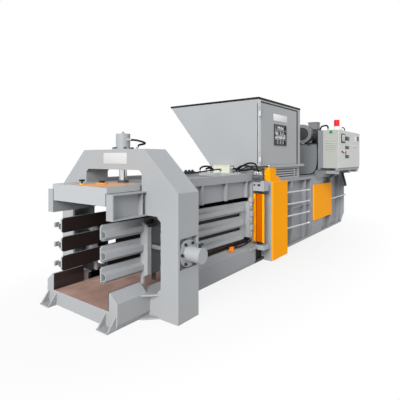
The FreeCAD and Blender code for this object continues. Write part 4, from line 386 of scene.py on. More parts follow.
# %% Press plate paint
def press_finish():
    """Grey plate with a worn orange top drawn pale as a painted sheen, painted shade under the
    portal, yellow seats and a dark boss for the rod.
    """
    paint = enamel("press_plate_enamel", rgb(172, 174, 176))
    along, across = paint.axis("X") + 0.45, paint.axis("Y") + 0.12
    spread = along * along * 5 + across * across * 6
    worn = (1.15 - spread + (paint.noise(3, 5) - 0.5) * 1.6).limited()
    # Under the portal the top is painted dark: painted shade.
    bare = paint.mix(paint.inside(PRESS_SHADE_UNDER_PORTAL), rgb(150, 152, 146), rgb(92, 94, 95))
    # The worn orange patch is drawn pale peach: orange paint with a painted sheen.
    top = paint.mix(worn, bare, rgb(226, 158, 100))
    tone = paint.mix(paint.inside(PRESS_TOP), paint.tone, top)
    tone = paint.mix(paint.inside(PRESS_BOSS), tone, rgb(74, 76, 78))
    tone = paint.mix(paint.inside(PRESS_SEATS), tone, rgb(250, 176, 10))
    paint.feed(paint.shader, {"Base Color": tone})
    return paint


press_paint = press_finish()
print("press plate paint", press_paint.material.name)

# %% [markdown]
# ## Bare steel, chrome and black parts
#
# The channel floor is hot-rolled plate with rust and drag marks along the bale's path. Rods are
# hard chrome with fine turning marks. Bolts and hoses are black: phosphated steel and rubber.


# %% Hot-rolled floor and wear plates
def rolled_steel(name, dark, light, streak, roughness):
    """Bare plate with rust clouds and drag marks along X."""
    steel = Finish(name, Specular_IOR_Level=0.3)
    cloud = steel.noise(2.4, 6)
    drag = steel.noise(3, 4, stretch=(0.6, 9, 9))
    pits = steel.noise(70, 3)
    tone = steel.mix((cloud * 2.4 - 0.7).limited(), dark, light)
    tone = steel.mix((drag * 2.6 - 1.1).limited() * 0.5, tone, streak)
    steel.feed(steel.shader, {"Base Color": tone, "Roughness": roughness + pits * 0.2})
    steel.bump(pits * 0.6 + drag, 0.0004)
    steel.tone = tone
    return steel


floor_steel = rolled_steel(
    "channel_floor_steel", rgb(146, 114, 102), rgb(200, 164, 150), rgb(184, 158, 150), 0.5
)
painted_front = floor_steel.mix(floor_steel.inside(FLOOR_FRONT), floor_steel.tone, GREY)
floor_steel.feed(floor_steel.shader, {"Base Color": painted_front})
# Near-black sheet steel behind the arms' rails: painted shade of the channel.
shade_black_steel = rolled_steel(
    "shade_black_sheet", rgb(14, 12, 12), rgb(26, 22, 21), rgb(34, 29, 28), 0.6
)
liner_steel = rolled_steel(
    "wear_liner_steel", rgb(36, 28, 27), rgb(58, 45, 43), rgb(78, 66, 62), 0.45
)
ram_steel = rolled_steel(
    "ram_steel", rgb(96, 92, 90), rgb(138, 132, 128), rgb(160, 156, 152), 0.4
)


# %% Chrome, galvanised tube and black steel
def turned_metal(name, colour, metallic, roughness, marks):
    """Metal with fine marks from turning or drawing."""
    metal = Finish(name, Metallic=metallic)
    drift = metal.noise(6, 3)
    tone = metal.mix(drift, shaded(colour, 0.85), colour)
    metal.feed(metal.shader, {"Base Color": tone, "Roughness": roughness + drift * 0.12})
    metal.bump(metal.noise(300, 2), marks)
    return metal


chrome = turned_metal("hard_chrome", rgb(222, 224, 226), 1.0, 0.12, 0.00002)
zinc = turned_metal("zinc_plate", rgb(206, 208, 210), 0.85, 0.3, 0.00004)
cast_grey = turned_metal("cast_motor_grey", rgb(96, 98, 100), 0.35, 0.34, 0.00008)
black_steel = turned_metal("black_steel", rgb(34, 34, 35), 0.4, 0.38, 0.00005)
black_paint = turned_metal("black_enamel", rgb(26, 26, 27), 0.0, 0.42, 0.00005)


# %% Rubber and moulded plastic
def moulded(name, colour, roughness, texture):
    """Rubber or plastic with an eroded mould texture."""
    stuff = Finish(name, Specular_IOR_Level=0.2)
    patch = stuff.noise(12, 3)
    lighter = tuple(min(1, value * 1.35 + 0.004) for value in colour[:3]) + (1,)
    tone = stuff.mix(patch, colour, lighter)
    stuff.feed(stuff.shader, {"Base Color": tone, "Roughness": roughness + patch * 0.15})
    stuff.bump(stuff.noise(420, 2), texture)
    return stuff


rubber = moulded("hose_rubber", rgb(13, 13, 14), 0.5, 0.00012)
seal_rubber = moulded("seal_rubber", rgb(14, 14, 15), 0.6, 0.0002)
black_plastic = moulded("black_plastic", rgb(18, 18, 20), 0.45, 0.00005)
red_plastic = moulded("red_plastic", rgb(206, 16, 26), 0.35, 0.00003)
orange_plastic = moulded("orange_plastic", rgb(255, 132, 20), 0.4, 0.00003)
green_plastic = moulded("green_plastic", rgb(10, 122, 84), 0.4, 0.00002)
cream_plastic = moulded("cream_plastic", rgb(216, 214, 190), 0.5, 0.00003)
screen_glass = moulded("screen_glass", rgb(24, 46, 38), 0.3, 0.00001)


# %% Beacon lens over a white foot
def lens_finish():
    """Red lens over a white foot."""
    lamp = Finish("beacon_lens", Specular_IOR_Level=0.3)
    foot = lamp.inside(BEACON_FOOT)
    shade = lamp.mix(lamp.noise(30, 2), rgb(204, 10, 26), rgb(228, 26, 44))
    tone = lamp.mix(foot, shade, rgb(224, 220, 214))
    lamp.feed(lamp.shader, {"Base Color": tone, "Roughness": 0.34 + foot * 0.1})
    return lamp


beacon_lens = lens_finish()
print("materials", len(bpy.data.materials))

# %% [markdown]
# ## Dress the CAD pieces
#
# Each CAD piece keeps its mesh and gets a finish in its material slot.

# %% Finish of every CAD piece
DRESS = {
    grey_paint: [
        "chute_right", "chute_left", "floor_bearers", "hinge_posts", "press_beams", "tail_plate",
        "side_cylinders", "top_covers", "rear_bridge", "hopper_door", "tie_brackets", "guard_box",
        "top_cylinder", "main_cylinder",
    ],
    portal_paint: ["portal"],
    stand_paint: ["stand"],
    chamber_paint: [
        "chamber_base_right", "chamber_base_left", "chamber_top_right", "chamber_top_left",
    ],
    wall_shaded_paint: ["side_wall_right", "side_wall_left"],
    tank_shaded_paint: ["tank"],
    hopper_paint: ["hopper"],
    arm_paint: ["arm_right", "arm_left"],
    motor_paint: ["motor"],
    orange_paint: ["trough_guard", "guard_door", "cover_box", "side_panel"],
    press_paint: ["press_plate"],
    cabinet_paint: ["cabinet_door", "cabinet_gear"],
    shell_paint: ["cabinet"],
    cream_paint: ["junction_box"],
    floor_steel: ["channel_floor"],
    liner_steel: ["wall_liners"],
    ram_steel: ["ram"],
    chrome: ["press_pin", "top_rod", "side_rod_right", "side_rod_left"],
    zinc: ["wire_tubes"],
    cast_grey: ["twist_motor"],
    black_steel: ["cylinder_bolts", "clamp_screws", "twister", "side_ports"],
    black_paint: ["cooler"],
    window_paint: ["door_mesh"],
    rubber: ["hoses", "cabinet_cable"],
    seal_rubber: ["hopper_seals"],
    beacon_lens: ["beacon"],
    red_plastic: ["stop_button"],
    black_plastic: ["push_button", "selector", "door_handle"],
}
dressed = set()
for finish, names in DRESS.items():
    for name in names:
        node_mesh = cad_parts[name].data
        node_mesh.materials.clear()
        node_mesh.materials.append(finish.material)
        dressed.add(name)
print("undressed", sorted(set(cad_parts) - dressed))

# %% [markdown]
# ## Tools for new pieces
#
# New pieces start as a bmesh. A slab is a cube with its edges bevelled, a turned part is a profile
# spun about an axis, and a part that repeats is made once and stamped where it is needed.


# %% Slabs, turned parts and stamps
def as_mesh(form, name):
    """Mesh of a finished form."""
    mesh = bpy.data.meshes.new(name)
    form.to_mesh(mesh)
    form.free()
    return mesh


def rounded_slab(form, low, high, edge):
    """Box between two corners with its edges rounded."""
    verts = bmesh.ops.create_cube(form, size=1)["verts"]
    bmesh.ops.scale(form, vec=[b - a for a, b in zip(low, high)], verts=verts)
    bmesh.ops.translate(form, vec=[(a + b) / 2 for a, b in zip(low, high)], verts=verts)
    edges = list({item for vert in verts for item in vert.link_edges})
    bmesh.ops.bevel(
        form, geom=edges, offset=edge, segments=2, profile=0.5, affect="EDGES", material=-1
    )


def turned(profile, steps=24):
    """Mesh of a profile of (radius, height) spun about Z."""
    form = bmesh.new()
    verts = [form.verts.new((radius, 0, height)) for radius, height in profile]
    edges = [form.edges.new(pair) for pair in zip(verts, verts[1:])]
    bmesh.ops.spin(
        form, geom=verts + edges, cent=(0, 0, 0), axis=(0, 0, 1), angle=math.tau, steps=steps,
        use_merge=True,
    )
    bmesh.ops.remove_doubles(form, verts=form.verts, dist=0.00001)
    bmesh.ops.recalc_face_normals(form, faces=form.faces)
    return as_mesh(form, "turned")


def aimed(spot, axis):
    """Place that turns Z onto an axis and moves it to a spot."""
    return Matrix.Translation(spot) @ Vector(axis).to_track_quat("Z", "Y").to_matrix().to_4x4()


def stamp(form, mesh, place):
    """Add a copy of a mesh in its place."""
    before = set(form.verts)
    form.from_mesh(mesh)
    added = [vert for vert in form.verts if vert not in before]
    bmesh.ops.transform(form, matrix=place, verts=added)


# %% Pieces that ride on a CAD body
SMOOTH_BELOW = math.radians(38)


def piece(name, body, finish, form):
    """Turn a form into an object that rides on a CAD body."""
    for edge in form.edges:
        edge.smooth = edge.calc_face_angle(0) < SMOOTH_BELOW
    for face in form.faces:
        face.smooth = True
    mesh = as_mesh(form, name)
    mesh.materials.append(finish.material)
    item = bpy.data.objects.new(name, mesh)
    bpy.context.scene.collection.objects.link(item)
    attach(item, body)
    print(name, len(mesh.polygons), "faces")
    return item


def slab_piece(name, body, finish, slabs):
    """Piece made of rounded slabs, each a (low corner, high corner, edge radius)."""
    form = bmesh.new()
    for low, high, edge in slabs:
        rounded_slab(form, low, high, edge)
    return piece(name, body, finish, form)


# %% [markdown]
# ## Hoses and the main cable
#
# Hydraulic hoses are steel-braided rubber, crimped into swivel nuts. They keep their length and
# spring into wide arcs. A NURBS line springs into arcs too: its points pull it, and it stays
# smooth. The points are those of the CAD route, some of them moved by up to 44 mm to follow the
# photograph or to open a bend. Nine cords are thicker than in the CAD. On the exact curve the tank
# hose does so as well.

# %% Routes of the hoses
# Each holds the radius, the length, the CAD node it replaces and the points.
ROUTES = {
    "press_hose": (0.013, 0.49, "hoses", [
        (0, -0.119, 2.112), (0, -0.185, 2.112), (0, -0.262, 2.104), (0.016, -0.325, 2.09),
        (0.056, -0.352, 2.074), (0.1, -0.322, 2.062), (0.1, -0.25, 2.052), (0.088, -0.19, 2.045),
        (0.086, -0.176, 1.985),
    ]),
    "deck_hose": (0.013, 2.21, "hoses", [
        (0.446, -0.606, 1.59), (0.446, -0.606, 1.642), (0.524, -0.567, 1.668),
        (0.808, -0.247, 1.626), (1.396, -0.091, 1.626), (1.911, 0, 1.642), (2.333, 0.052, 1.66),
        (2.45, 0.052, 1.66),
    ]),
    "far_hose_one": (0.018, 0.43, "hoses", [
        (2.489, 0.229, 1.694), (2.489, 0.299, 1.694), (2.489, 0.419, 1.712), (2.484, 0.528, 1.7),
        (2.48, 0.59, 1.65), (2.48, 0.59, 1.59),
    ]),
    "far_hose_two": (0.018, 0.31, "hoses", [
        (2.54, 0.229, 1.65), (2.54, 0.289, 1.65), (2.539, 0.369, 1.676), (2.536, 0.458, 1.664),
        (2.536, 0.489, 1.63), (2.536, 0.489, 1.59),
    ]),
    "twist_hose_one": (0.0165, 0.78, "hoses", [
        (2.489, -0.136, 1.681), (2.489, -0.206, 1.681), (2.452, -0.318, 1.662), (2.43, -0.4, 1.72),
        (2.44, -0.54, 1.784), (2.43, -0.69, 1.776), (2.435, -0.728, 1.69), (2.435, -0.728, 1.578),
    ]),
    "twist_hose_two": (0.0165, 0.59, "hoses", [
        (2.46, -0.279, 1.59), (2.46, -0.279, 1.632), (2.39, -0.34, 1.69), (2.37, -0.46, 1.742),
        (2.42, -0.6, 1.722), (2.435, -0.678, 1.66), (2.435, -0.678, 1.578),
    ]),
    "twist_hose_three": (0.0165, 0.61, "hoses", [
        (2.502, -0.308, 1.59), (2.502, -0.308, 1.632), (2.46, -0.38, 1.65), (2.39, -0.5, 1.648),
        (2.36, -0.65, 1.68), (2.42, -0.777, 1.678), (2.435, -0.777, 1.578),
    ]),
    "cover_hose": (0.0104, 0.84, "hoses", [
        (2.549, -0.136, 1.642), (2.549, -0.214, 1.642), (2.562, -0.331, 1.663),
        (2.562, -0.448, 1.71), (2.554, -0.56, 1.73), (2.562, -0.67, 1.712), (2.62, -0.74, 1.712),
        (2.719, -0.755, 1.716), (2.81, -0.755, 1.716), (2.81, -0.755, 1.685),
    ]),
    "tank_hose": (0.0145, 2.28, "hoses", [
        (6.05, -0.601, 2.47), (5.92, -0.601, 2.47), (5.781, -0.624, 2.429), (5.721, -0.645, 2.33),
        (5.731, -0.66, 2.059), (5.721, -0.66, 1.804), (5.711, -0.64, 1.622), (5.602, -0.61, 1.51),
        (5.391, -0.601, 1.476), (5.008, -0.601, 1.484), (4.748, -0.601, 1.489),
        (4.566, -0.601, 1.489),
    ]),
    "cabinet_hose": (0.02, 0.8, "hoses", [
        (6.11, -0.591, 2.551), (6.11, -0.591, 2.611), (6.011, -0.65, 2.66), (5.79, -0.739, 2.66),
        (5.662, -0.829, 2.66), (5.602, -0.928, 2.665), (5.602, -0.959, 2.61), (5.602, -0.959, 2.54),
    ]),
    "cabinet_loop": (0.0124, 0.36, "hoses", [
        (5.849, -1.201, 2.54), (5.849, -1.201, 2.582), (5.919, -1.201, 2.62), (6.039, -1.201, 2.62),
        (6.122, -1.201, 2.587), (6.122, -1.201, 2.54),
    ]),
    "main_cable": (0.03, 1.31, "cabinet_cable", [
        (6.943, -0.9, 1.628), (6.943, -0.9, 1.561), (7.01, -0.9, 1.44), (7.164, -0.9, 1.301),
        (7.342, -0.876, 1.176), (7.539, -0.84, 1.109), (7.69, -0.8, 1.08), (7.76, -0.732, 1.08),
        (7.77, -0.622, 1.08), (7.75, -0.559, 1.08), (7.688, -0.559, 1.08),
    ]),
}
print(len(ROUTES), "hose routes")


# %% A hose along its route
def hose_along(name, radius, route):
    """Round tube along a NURBS line that the route's points pull."""
    line = bpy.data.curves.new(name, "CURVE")
    line.dimensions = "3D"
    line.bevel_depth = radius
    line.bevel_resolution = 4
    line.use_fill_caps = True
    spline = line.splines.new("NURBS")
    spline.points.add(len(route) - 1)
    for point, spot in zip(spline.points, route):
        point.co = (*spot, 1)
    spline.order_u = 3
    spline.use_endpoint_u = True
    spline.resolution_u = 10
    line.materials.append(rubber.material)
    item = bpy.data.objects.new(name, line)
    bpy.context.scene.collection.objects.link(item)
    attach(item, "frame")
    return item


# Profile of a crimped end: radius as a share of the hose's, and height in metres.
HOSE_END = [
    (0, 0.052), (1.12, 0.052), (1.25, 0.049), (1.25, 0.026), (1.1, 0.022), (1.1, 0.018),
    (1.5, 0.018), (1.5, 0.001), (0, 0.001),
]
ends = bmesh.new()
for name, (radius, length, node, route) in ROUTES.items():
    hose = hose_along(name, radius, route)
    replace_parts(hose, node)
    crimp = turned([(radius * wide, height) for wide, height in HOSE_END], steps=12)
    for foot, after in ((route[0], route[1]), (route[-1], route[-2])):
        stamp(ends, crimp, aimed(foot, Vector(after) - Vector(foot)))
piece("hose_ends", "frame", zinc, ends)

# %% [markdown]
# ## Cap screws of the three portal cylinders
#
# Black socket-head screws hold the flanges. The head has a chamfer and a socket, so the profile
# dips at its centre.

# %% Socket-head cap screws
SOCKET_HEAD = [
    (0, 0.009), (0.008, 0.009), (0.008, 0.0185), (0.009, 0.02), (0.0152, 0.02), (0.017, 0.018),
    (0.017, 0),
]
SCREWS_PER_FLANGE = 6
TOP_FLANGE_RADIUS, TOP_FLANGE_FACE = 0.131, 1.997
SIDE_FLANGE_RADIUS, SIDE_FLANGE_FACE, SIDE_CYLINDER_HEIGHT = 0.128, 1.135, 0.773
screw_head = turned(SOCKET_HEAD, steps=20)
cap_screws = bmesh.new()
for number in range(SCREWS_PER_FLANGE):
    turn = math.tau * number / SCREWS_PER_FLANGE
    across, along = math.cos(turn), math.sin(turn)
    spot = (TOP_FLANGE_RADIUS * across, TOP_FLANGE_RADIUS * along, TOP_FLANGE_FACE)
    stamp(cap_screws, screw_head, aimed(spot, (0, 0, 1)))
    for side in (-1, 1):
        spot = (
            SIDE_FLANGE_RADIUS * across, side * SIDE_FLANGE_FACE,
            SIDE_CYLINDER_HEIGHT + SIDE_FLANGE_RADIUS * along,
        )
        stamp(cap_screws, screw_head, aimed(spot, (0, side, 0)))
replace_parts(piece("cap_screws", "frame", black_steel, cap_screws), "cylinder_bolts")

# %% [markdown]
# ## Clamp knobs
#
# Two black star knobs clamp the press plate. One stands up on its stud, the other is screwed right
# down on an orange disc. The star is a short cone whose radius swells and shrinks six times round.


# %% Star knobs and their disc
def star_head(low, high, reach):
    """Knob head with six rounded lobes."""
    form = bmesh.new()
    made = bmesh.ops.create_cone(
        form, cap_ends=True, segments=24, radius1=reach * 0.86, radius2=reach, depth=high - low
    )
    for vert in made["verts"]:
        lobe = 1 + 0.16 * math.cos(6 * math.atan2(vert.co.y, vert.co.x))
        vert.co.x, vert.co.y = vert.co.x * lobe, vert.co.y * lobe
        vert.co.z += (low + high) / 2
    rims = [edge for edge in form.edges if edge.is_manifold and edge.calc_face_angle(0) > 1]
    bmesh.ops.bevel(
        form, geom=rims, offset=0.003, segments=2, profile=0.5, affect="EDGES", material=-1
    )
    return as_mesh(form, "star_head")


# Foot of each knob, and the heights above it between which the head lies.
KNOBS = [((-0.564, 0.109, 1.559), 0.026, 0.048), ((-0.3, 0.06, 1.552), 0.006, 0.026)]
KNOB_REACH, STUD_RADIUS = 0.036, 0.011
knobs = bmesh.new()
for foot, low, high in KNOBS:
    stud = turned([(0, low + 0.002), (STUD_RADIUS, low + 0.002), (STUD_RADIUS, 0)], steps=16)
    stamp(knobs, stud, Matrix.Translation(foot))
    stamp(knobs, star_head(low, high, KNOB_REACH), Matrix.Translation(foot))
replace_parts(piece("clamp_knobs", "press", black_plastic, knobs), "clamp_screws")
KNOB_DISC = [(0, 0.008), (0.07, 0.008), (0.075, 0.005), (0.075, 0)]
clamp_disc = bmesh.new()
stamp(clamp_disc, turned(KNOB_DISC, steps=32), Matrix.Translation((-0.3, 0.06, 1.545)))
piece("clamp_disc", "press", orange_paint, clamp_disc)

# %% [markdown]
# ## Small fittings on the arms and the tying head
#
# Each rail of the far arm ends in a zinc-plated lug. Where the near arm hinges, three small plates
# with four screws each hold its rails. The gusset plate beside the hopper is read from one pale
# wedge in the photo, and the rubber strip from a dark line along the hopper's corner post.

# %% Rail lugs
LUG_LEVELS = (1.022, 0.777, 0.532)
LUG_HALF = 0.03
slab_piece("rail_lugs", "arm_left", zinc, [
    ((-0.705, 0.478, level - LUG_HALF), (-0.64, 0.506, level + LUG_HALF), 0.004)
    for level in LUG_LEVELS
])

# %% Hinge plates with their screws
HINGE_PLATE_LEVELS = (1.037, 0.793, 0.533)
HINGE_PLATE_HALF = 0.046
plate_screw = turned([(0, 0.006), (0.006, 0.006), (0.008, 0.004), (0.008, 0)], steps=12)
hinge_plates = bmesh.new()
for level in HINGE_PLATE_LEVELS:
    low, high = level - HINGE_PLATE_HALF, level + HINGE_PLATE_HALF
    rounded_slab(hinge_plates, (2.276, -0.693, low), (2.282, -0.633, high), 0.0015)
    for across in (-0.681, -0.645):
        for rise in (-0.028, 0.028):
            stamp(hinge_plates, plate_screw, aimed((2.2762, across, level + rise), (-1, 0, 0)))
piece("hinge_plates", "arm_right", zinc, hinge_plates)

# %% Gusset and seam strip beside the hopper
GUSSET = [(2.514, 1.451), (2.746, 1.623), (2.746, 1.439)]
GUSSET_FACE, GUSSET_PLATE = -0.664, 0.008
gusset = bmesh.new()
outline = gusset.faces.new([gusset.verts.new((x, GUSSET_FACE, z)) for x, z in GUSSET])
made = bmesh.ops.extrude_face_region(gusset, geom=[outline])["geom"]
back = [part for part in made if isinstance(part, bmesh.types.BMVert)]
bmesh.ops.translate(gusset, verts=back, vec=(0, GUSSET_PLATE, 0))
bmesh.ops.recalc_face_normals(gusset, faces=gusset.faces)
piece("head_gusset", "frame", plate_metal, gusset)
slab_piece("hopper_seam", "frame", seal_rubber, [
    ((2.6012, -0.641, 1.765), (2.6046, -0.631, 2.87), 0.001),
])

# %% [markdown]
# ## Bare name plates
#
# A riveted plate sits over the exit and another on the hopper's door. They stay blank. Each is a
# thin slab with soft edges, held by domed rivets.

# %% Riveted plates over the exit and on the hopper's door
rivet = turned([(0, 0.0022), (0.0025, 0.0019), (0.0042, 0.001), (0.005, 0)], steps=12)
PLATE_EDGE = 0.0012


def name_plate(name, body, finish, low, high, out, rivets):
    """Blank plate with a rivet in each corner, facing out."""
    form = bmesh.new()
    rounded_slab(form, low, high, PLATE_EDGE)
    for spot in rivets:
        stamp(form, rivet, aimed(spot, out))
    return piece(name, body, finish, form)


name_plate(
    "exit_plate", "frame", plate_metal, (-0.1895, -0.285, 1.798), (-0.1855, 0.171, 1.940),
    (-1, 0, 0), [(-0.1894, y, z) for y in (-0.272, 0.158) for z in (1.811, 1.927)],
)
name_plate(
    "door_plate", "hopper_door", door_plate_lightened, (3.214, -0.6635, 2.604), (3.854, -0.6602, 2.736),
    (0, -1, 0), [(x, -0.6634, z) for x in (3.23, 3.838) for z in (2.618, 2.722)],
)

# %% [markdown]
# ## Hopper trim and window
#
# A black rubber profile is pushed over the hopper's rim, and a dark pane closes the window behind
# its bars. The photo shows pale patches between the bars, perhaps daylight from the open top.
# Noise gives such patches, though not in the same spots.

# %% Rubber profile on the rim
RIM_EDGE = 0.003
slab_piece("rim_profile", "frame", seal_rubber, [
    ((2.598, -0.666, 2.944), (4.572, -0.652, 2.982), RIM_EDGE),
    ((2.598, -0.666, 2.944), (2.61, 1.464, 2.982), RIM_EDGE),
    ((4.56, -0.666, 2.944), (4.572, 1.464, 2.982), RIM_EDGE),
    ((2.598, 1.452, 2.95), (4.572, 1.466, 2.982), RIM_EDGE),
])


# %% Dusty window pane
def pane_finish():
    """Dark dusty glass with painted pale patches of daylight."""
    pane = Finish("window_pane", Specular_IOR_Level=0.5)
    light = ((pane.noise(9, 3) - 0.5) * 9).limited() * (pane.axis("Z") > 2.26)
    tone = pane.mix(light, rgb(30, 33, 35), rgb(225, 228, 230))
    pane.feed(pane.shader, {"Base Color": tone, "Roughness": 0.2 + light * 0.4})
    return pane


slab_piece("window_pane", "hopper_door", pane_finish(), [
    ((3.269, -0.6595, 2.152), (3.772, -0.6565, 2.503), 0.001),
])

# %% [markdown]
# ## Fittings of the cabinet's door
#
# The door carries a meter and three displays in black frames, a lock, a label and screws. Each
# frame is a slab, and the window in it a second, thinner slab that stands a little proud.

# %% Frames, windows, dial and label
FACE = -1.25
# Left, bottom, right, top and depth of each frame. The first holds the meter.
FRAMES = [
    (5.65, 2.238, 5.95, 2.454, 0.0135), (5.988, 2.31, 6.314, 2.399, 0.0135),
    (5.988, 2.094, 6.314, 2.168, 0.006), (5.988, 1.868, 6.314, 1.944, 0.006),
]
NEEDLE = ((5.79, FACE - 0.017, 2.3), (5.797, FACE - 0.015, 2.4), 0.0005)
slab_piece("door_frames", "cabinet_door", black_plastic, [
    ((left, FACE - depth, low), (right, FACE, high), 0.002)
    for left, low, right, high, depth in FRAMES
] + [NEEDLE])
slab_piece("door_screens", "cabinet_door", screen_glass, [
    ((left + 0.03, FACE - depth - 0.002, low + 0.018), (right - 0.03, FACE, high - 0.018), 0.001)
    for left, low, right, high, depth in FRAMES[1:]
])
slab_piece("meter_dial", "cabinet_door", plate_metal, [
    ((5.69, FACE - 0.0155, 2.272), (5.915, FACE, 2.43), 0.001),
])
slab_piece("door_label", "cabinet_door", cream_plastic, [
    ((6.894, FACE - 0.0015, 2.306), (7.042, FACE + 0.001, 2.432), 0.0005),
])

# %% Lock, screws and disc
lock = turned([(0, 0.02), (0.016, 0.02), (0.02, 0.016), (0.02, 0.004), (0.03, 0.003), (0.03, 0)])
pan_head = turned([(0, 0.006), (0.006, 0.0052), (0.011, 0.0025), (0.012, 0)], steps=12)
LOCK_SPOT = (6.88, FACE - 0.008, 2.175)
DOOR_SCREWS = [(5.56, 1.7), (5.56, 2.47), (7.3, 1.7), (7.3, 2.47), (6.5, 2.19), (6.5, 2.0)]
door_screws = bmesh.new()
stamp(door_screws, lock, aimed(LOCK_SPOT, (0, -1, 0)))
for along, level in DOOR_SCREWS:
    stamp(door_screws, pan_head, aimed((along, FACE, level), (0, -1, 0)))
piece("door_screws", "cabinet_door", zinc, door_screws)
green_disc = turned([(0, 0.002), (0.038, 0.002), (0.041, 0.001), (0.041, 0)])
cabinet_disc = bmesh.new()
stamp(cabinet_disc, green_disc, aimed((5.472, -1.063, 2.49), (-1, 0, 0)))
piece("cabinet_disc", "frame", green_plastic, cabinet_disc)

# %% [markdown]
# ## Dark plates behind the arms' rails
#
# In the photo the gaps between the near arm's rails are black. A thin near-black sheet on the
# bale's side of the rails gives the same look: painted shade that stands in for the dark channel.
# It is a guess, and the CAD's gaps are open. Each plate leans with its arm.

# %% Shade sheets of the two arms
for name, side in (("right", -1), ("left", 1)):
    backing = bmesh.new()
    near, far = sorted((side * 0.002, side * 0.008))
    rounded_slab(backing, (-2.1, near, 0.455), (-0.24, far, 1.105), 0.001)
    lean = Matrix.Rotation(side * math.atan(ARM_LEAN), 4, "Z")
    hinge = Matrix.Translation((ARM_HINGE[0], side * ARM_FACE, 0))
    bmesh.ops.transform(backing, matrix=hinge @ lean, verts=backing.verts)
    piece(f"shade_sheet_{name}", f"arm_{name}", shade_black_steel, backing)

# %% [markdown]
# ## Sensor, valves and box screws
#
# The small orange part on the chamber's ledge looks like a position sensor, with a lead that runs
# back to the hinge post. The low black fittings on the far beam are taken for valves. Screws hold
# the lid of the junction box.

# %% Sensor on the ledge
sensor = bmesh.new()
rounded_slab(sensor, (1.668, -0.668, 0.352), (1.75, -0.622, 0.436), 0.006)
BARREL = [(0, 0.05), (0.014, 0.05), (0.017, 0.046), (0.017, 0.02), (0.021, 0.018), (0.021, 0)]
barrel = turned(BARREL)
stamp(sensor, barrel, aimed((1.67, -0.645, 0.396), (-1, 0, -0.1)))
piece("sensor", "frame", orange_plastic, sensor)
hose_along("sensor_lead", 0.014, [
    (1.745, -0.645, 0.405), (1.82, -0.65, 0.405), (1.95, -0.665, 0.4), (2.1, -0.68, 0.412),
    (2.23, -0.69, 0.436), (2.3, -0.68, 0.455),
])

# %% Valves on the far beam and screws of the junction box
VALVE = [
    (0, 0.035), (0.014, 0.035), (0.017, 0.03), (0.026, 0.024), (0.026, 0.009), (0.034, 0.006),
    (0.034, 0),
]
valve = turned(VALVE, steps=16)
valves = bmesh.new()
for along in (2.05, 2.15, 2.25):
    stamp(valves, valve, aimed((along, 0.59, 1.612), (0, 0, 1)))
rounded_slab(valves, (2.0, 0.556, 1.59), (2.3, 0.624, 1.613), 0.004)
piece("beam_valves", "frame", black_steel, valves)
LID_INSET = 0.03
lid_screws = bmesh.new()
low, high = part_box("junction_box")
for along in (low.x + LID_INSET, high.x - LID_INSET):
    for across in (low.y + LID_INSET, high.y - LID_INSET):
        stamp(lid_screws, pan_head, aimed((along, across, high.z), (0, 0, 1)))
piece("lid_screws", "frame", zinc, lid_screws)

# %% [markdown]
# ## Floor and light
#
# A plain pale studio: a white floor that still takes the shadow, a pale sky for the camera and
# for reflections, one broad light from the exit side and one from the operator's side.


# %% White floor that keeps the shadow
SEEN_BY = ("Is Camera Ray", "Is Glossy Ray", "Is Transmission Ray")
FLOOR_HALF = 60


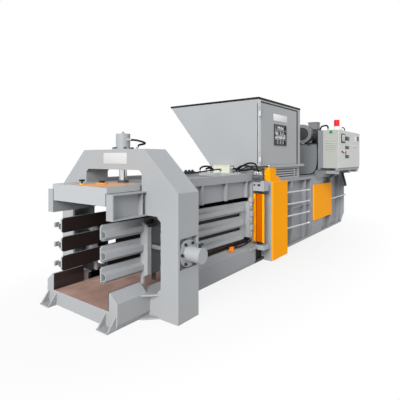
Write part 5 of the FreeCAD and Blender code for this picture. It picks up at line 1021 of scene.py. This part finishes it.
def studio_floor():
    """Large white plane whose own glow takes over away from the machine's shadow."""
    form = bmesh.new()
    bmesh.ops.create_grid(form, x_segments=1, y_segments=1, size=FLOOR_HALF)
    bmesh.ops.translate(form, vec=(0, 0, -0.001), verts=form.verts)
    mesh = as_mesh(form, "floor")
    floor = bpy.data.objects.new("floor", mesh)
    bpy.context.scene.collection.objects.link(floor)
    white = Finish("studio_white", Base_Color=(0.4, 0.4, 0.4, 1), Roughness=0.9)
    path = [white.add("ShaderNodeLightPath", {}, {}, ray) for ray in SEEN_BY]
    seen = white.maths("MAXIMUM", white.maths("MAXIMUM", path[0], path[1]), path[2])
    spots = {0: white.place((0.4, 1, 1)), 1: (1.4, 0, 0)}
    away = white.add("ShaderNodeVectorMath", {"operation": "DISTANCE"}, spots, "Value")
    pure = {"Color": (1, 1, 1, 1), "Strength": 1}
    glow = white.add("ShaderNodeEmission", {}, pure, "Emission")
    matte = Signal(white, white.shader.outputs["BSDF"])
    share = (away * 0.1 + 0.74).limited()
    both = white.add("ShaderNodeMixShader", {}, {0: seen * share, 1: matte, 2: glow}, "Shader")
    white.tree.links.new(both.socket, white.tree.nodes["Material Output"].inputs["Surface"])
    mesh.materials.append(white.material)


studio_floor()


# %% Pale sky and soft lamps
def studio_sky(level):
    """White for the camera and in reflections, and a dimmer pale sky as the fill light."""
    world = bpy.data.worlds.new("studio")
    bpy.context.scene.world = world
    world.use_nodes = True
    nodes, links = world.node_tree.nodes, world.node_tree.links
    sky = nodes["Background"]
    sky.inputs["Color"].default_value = (0.93, 0.97, 1, 1)
    sky.inputs["Strength"].default_value = level
    white = nodes.new("ShaderNodeBackground")
    white.inputs["Color"].default_value = (1, 1, 1, 1)
    path = nodes.new("ShaderNodeLightPath")
    seen = path.outputs[SEEN_BY[0]]
    for ray in SEEN_BY[1:]:
        either = nodes.new("ShaderNodeMath")
        either.operation = "MAXIMUM"
        links.new(seen, either.inputs[0])
        links.new(path.outputs[ray], either.inputs[1])
        seen = either.outputs[0]
    mix = nodes.new("ShaderNodeMixShader")
    links.new(seen, mix.inputs[0])
    links.new(sky.outputs[0], mix.inputs[1])
    links.new(white.outputs[0], mix.inputs[2])
    links.new(mix.outputs[0], nodes["World Output"].inputs["Surface"])


def wide_light(name, strength, toward, spread):
    """Distant soft light that comes from one direction."""
    data = bpy.data.lights.new(name, "SUN")
    data.energy = strength
    data.angle = math.radians(spread)
    lamp = bpy.data.objects.new(name, data)
    lamp.rotation_euler = Vector(toward).to_track_quat("Z", "Y").to_euler()
    bpy.context.scene.collection.objects.link(lamp)


studio_sky(0.4)
wide_light("exit_light", 3.9, (-0.85, -0.25, 0.46), 30)
wide_light("side_light", 0.6, (0.15, -0.9, 0.4), 60)
print("studio lights", [item.name for item in bpy.data.lights])

# %% End of the scene
print("scene ready")
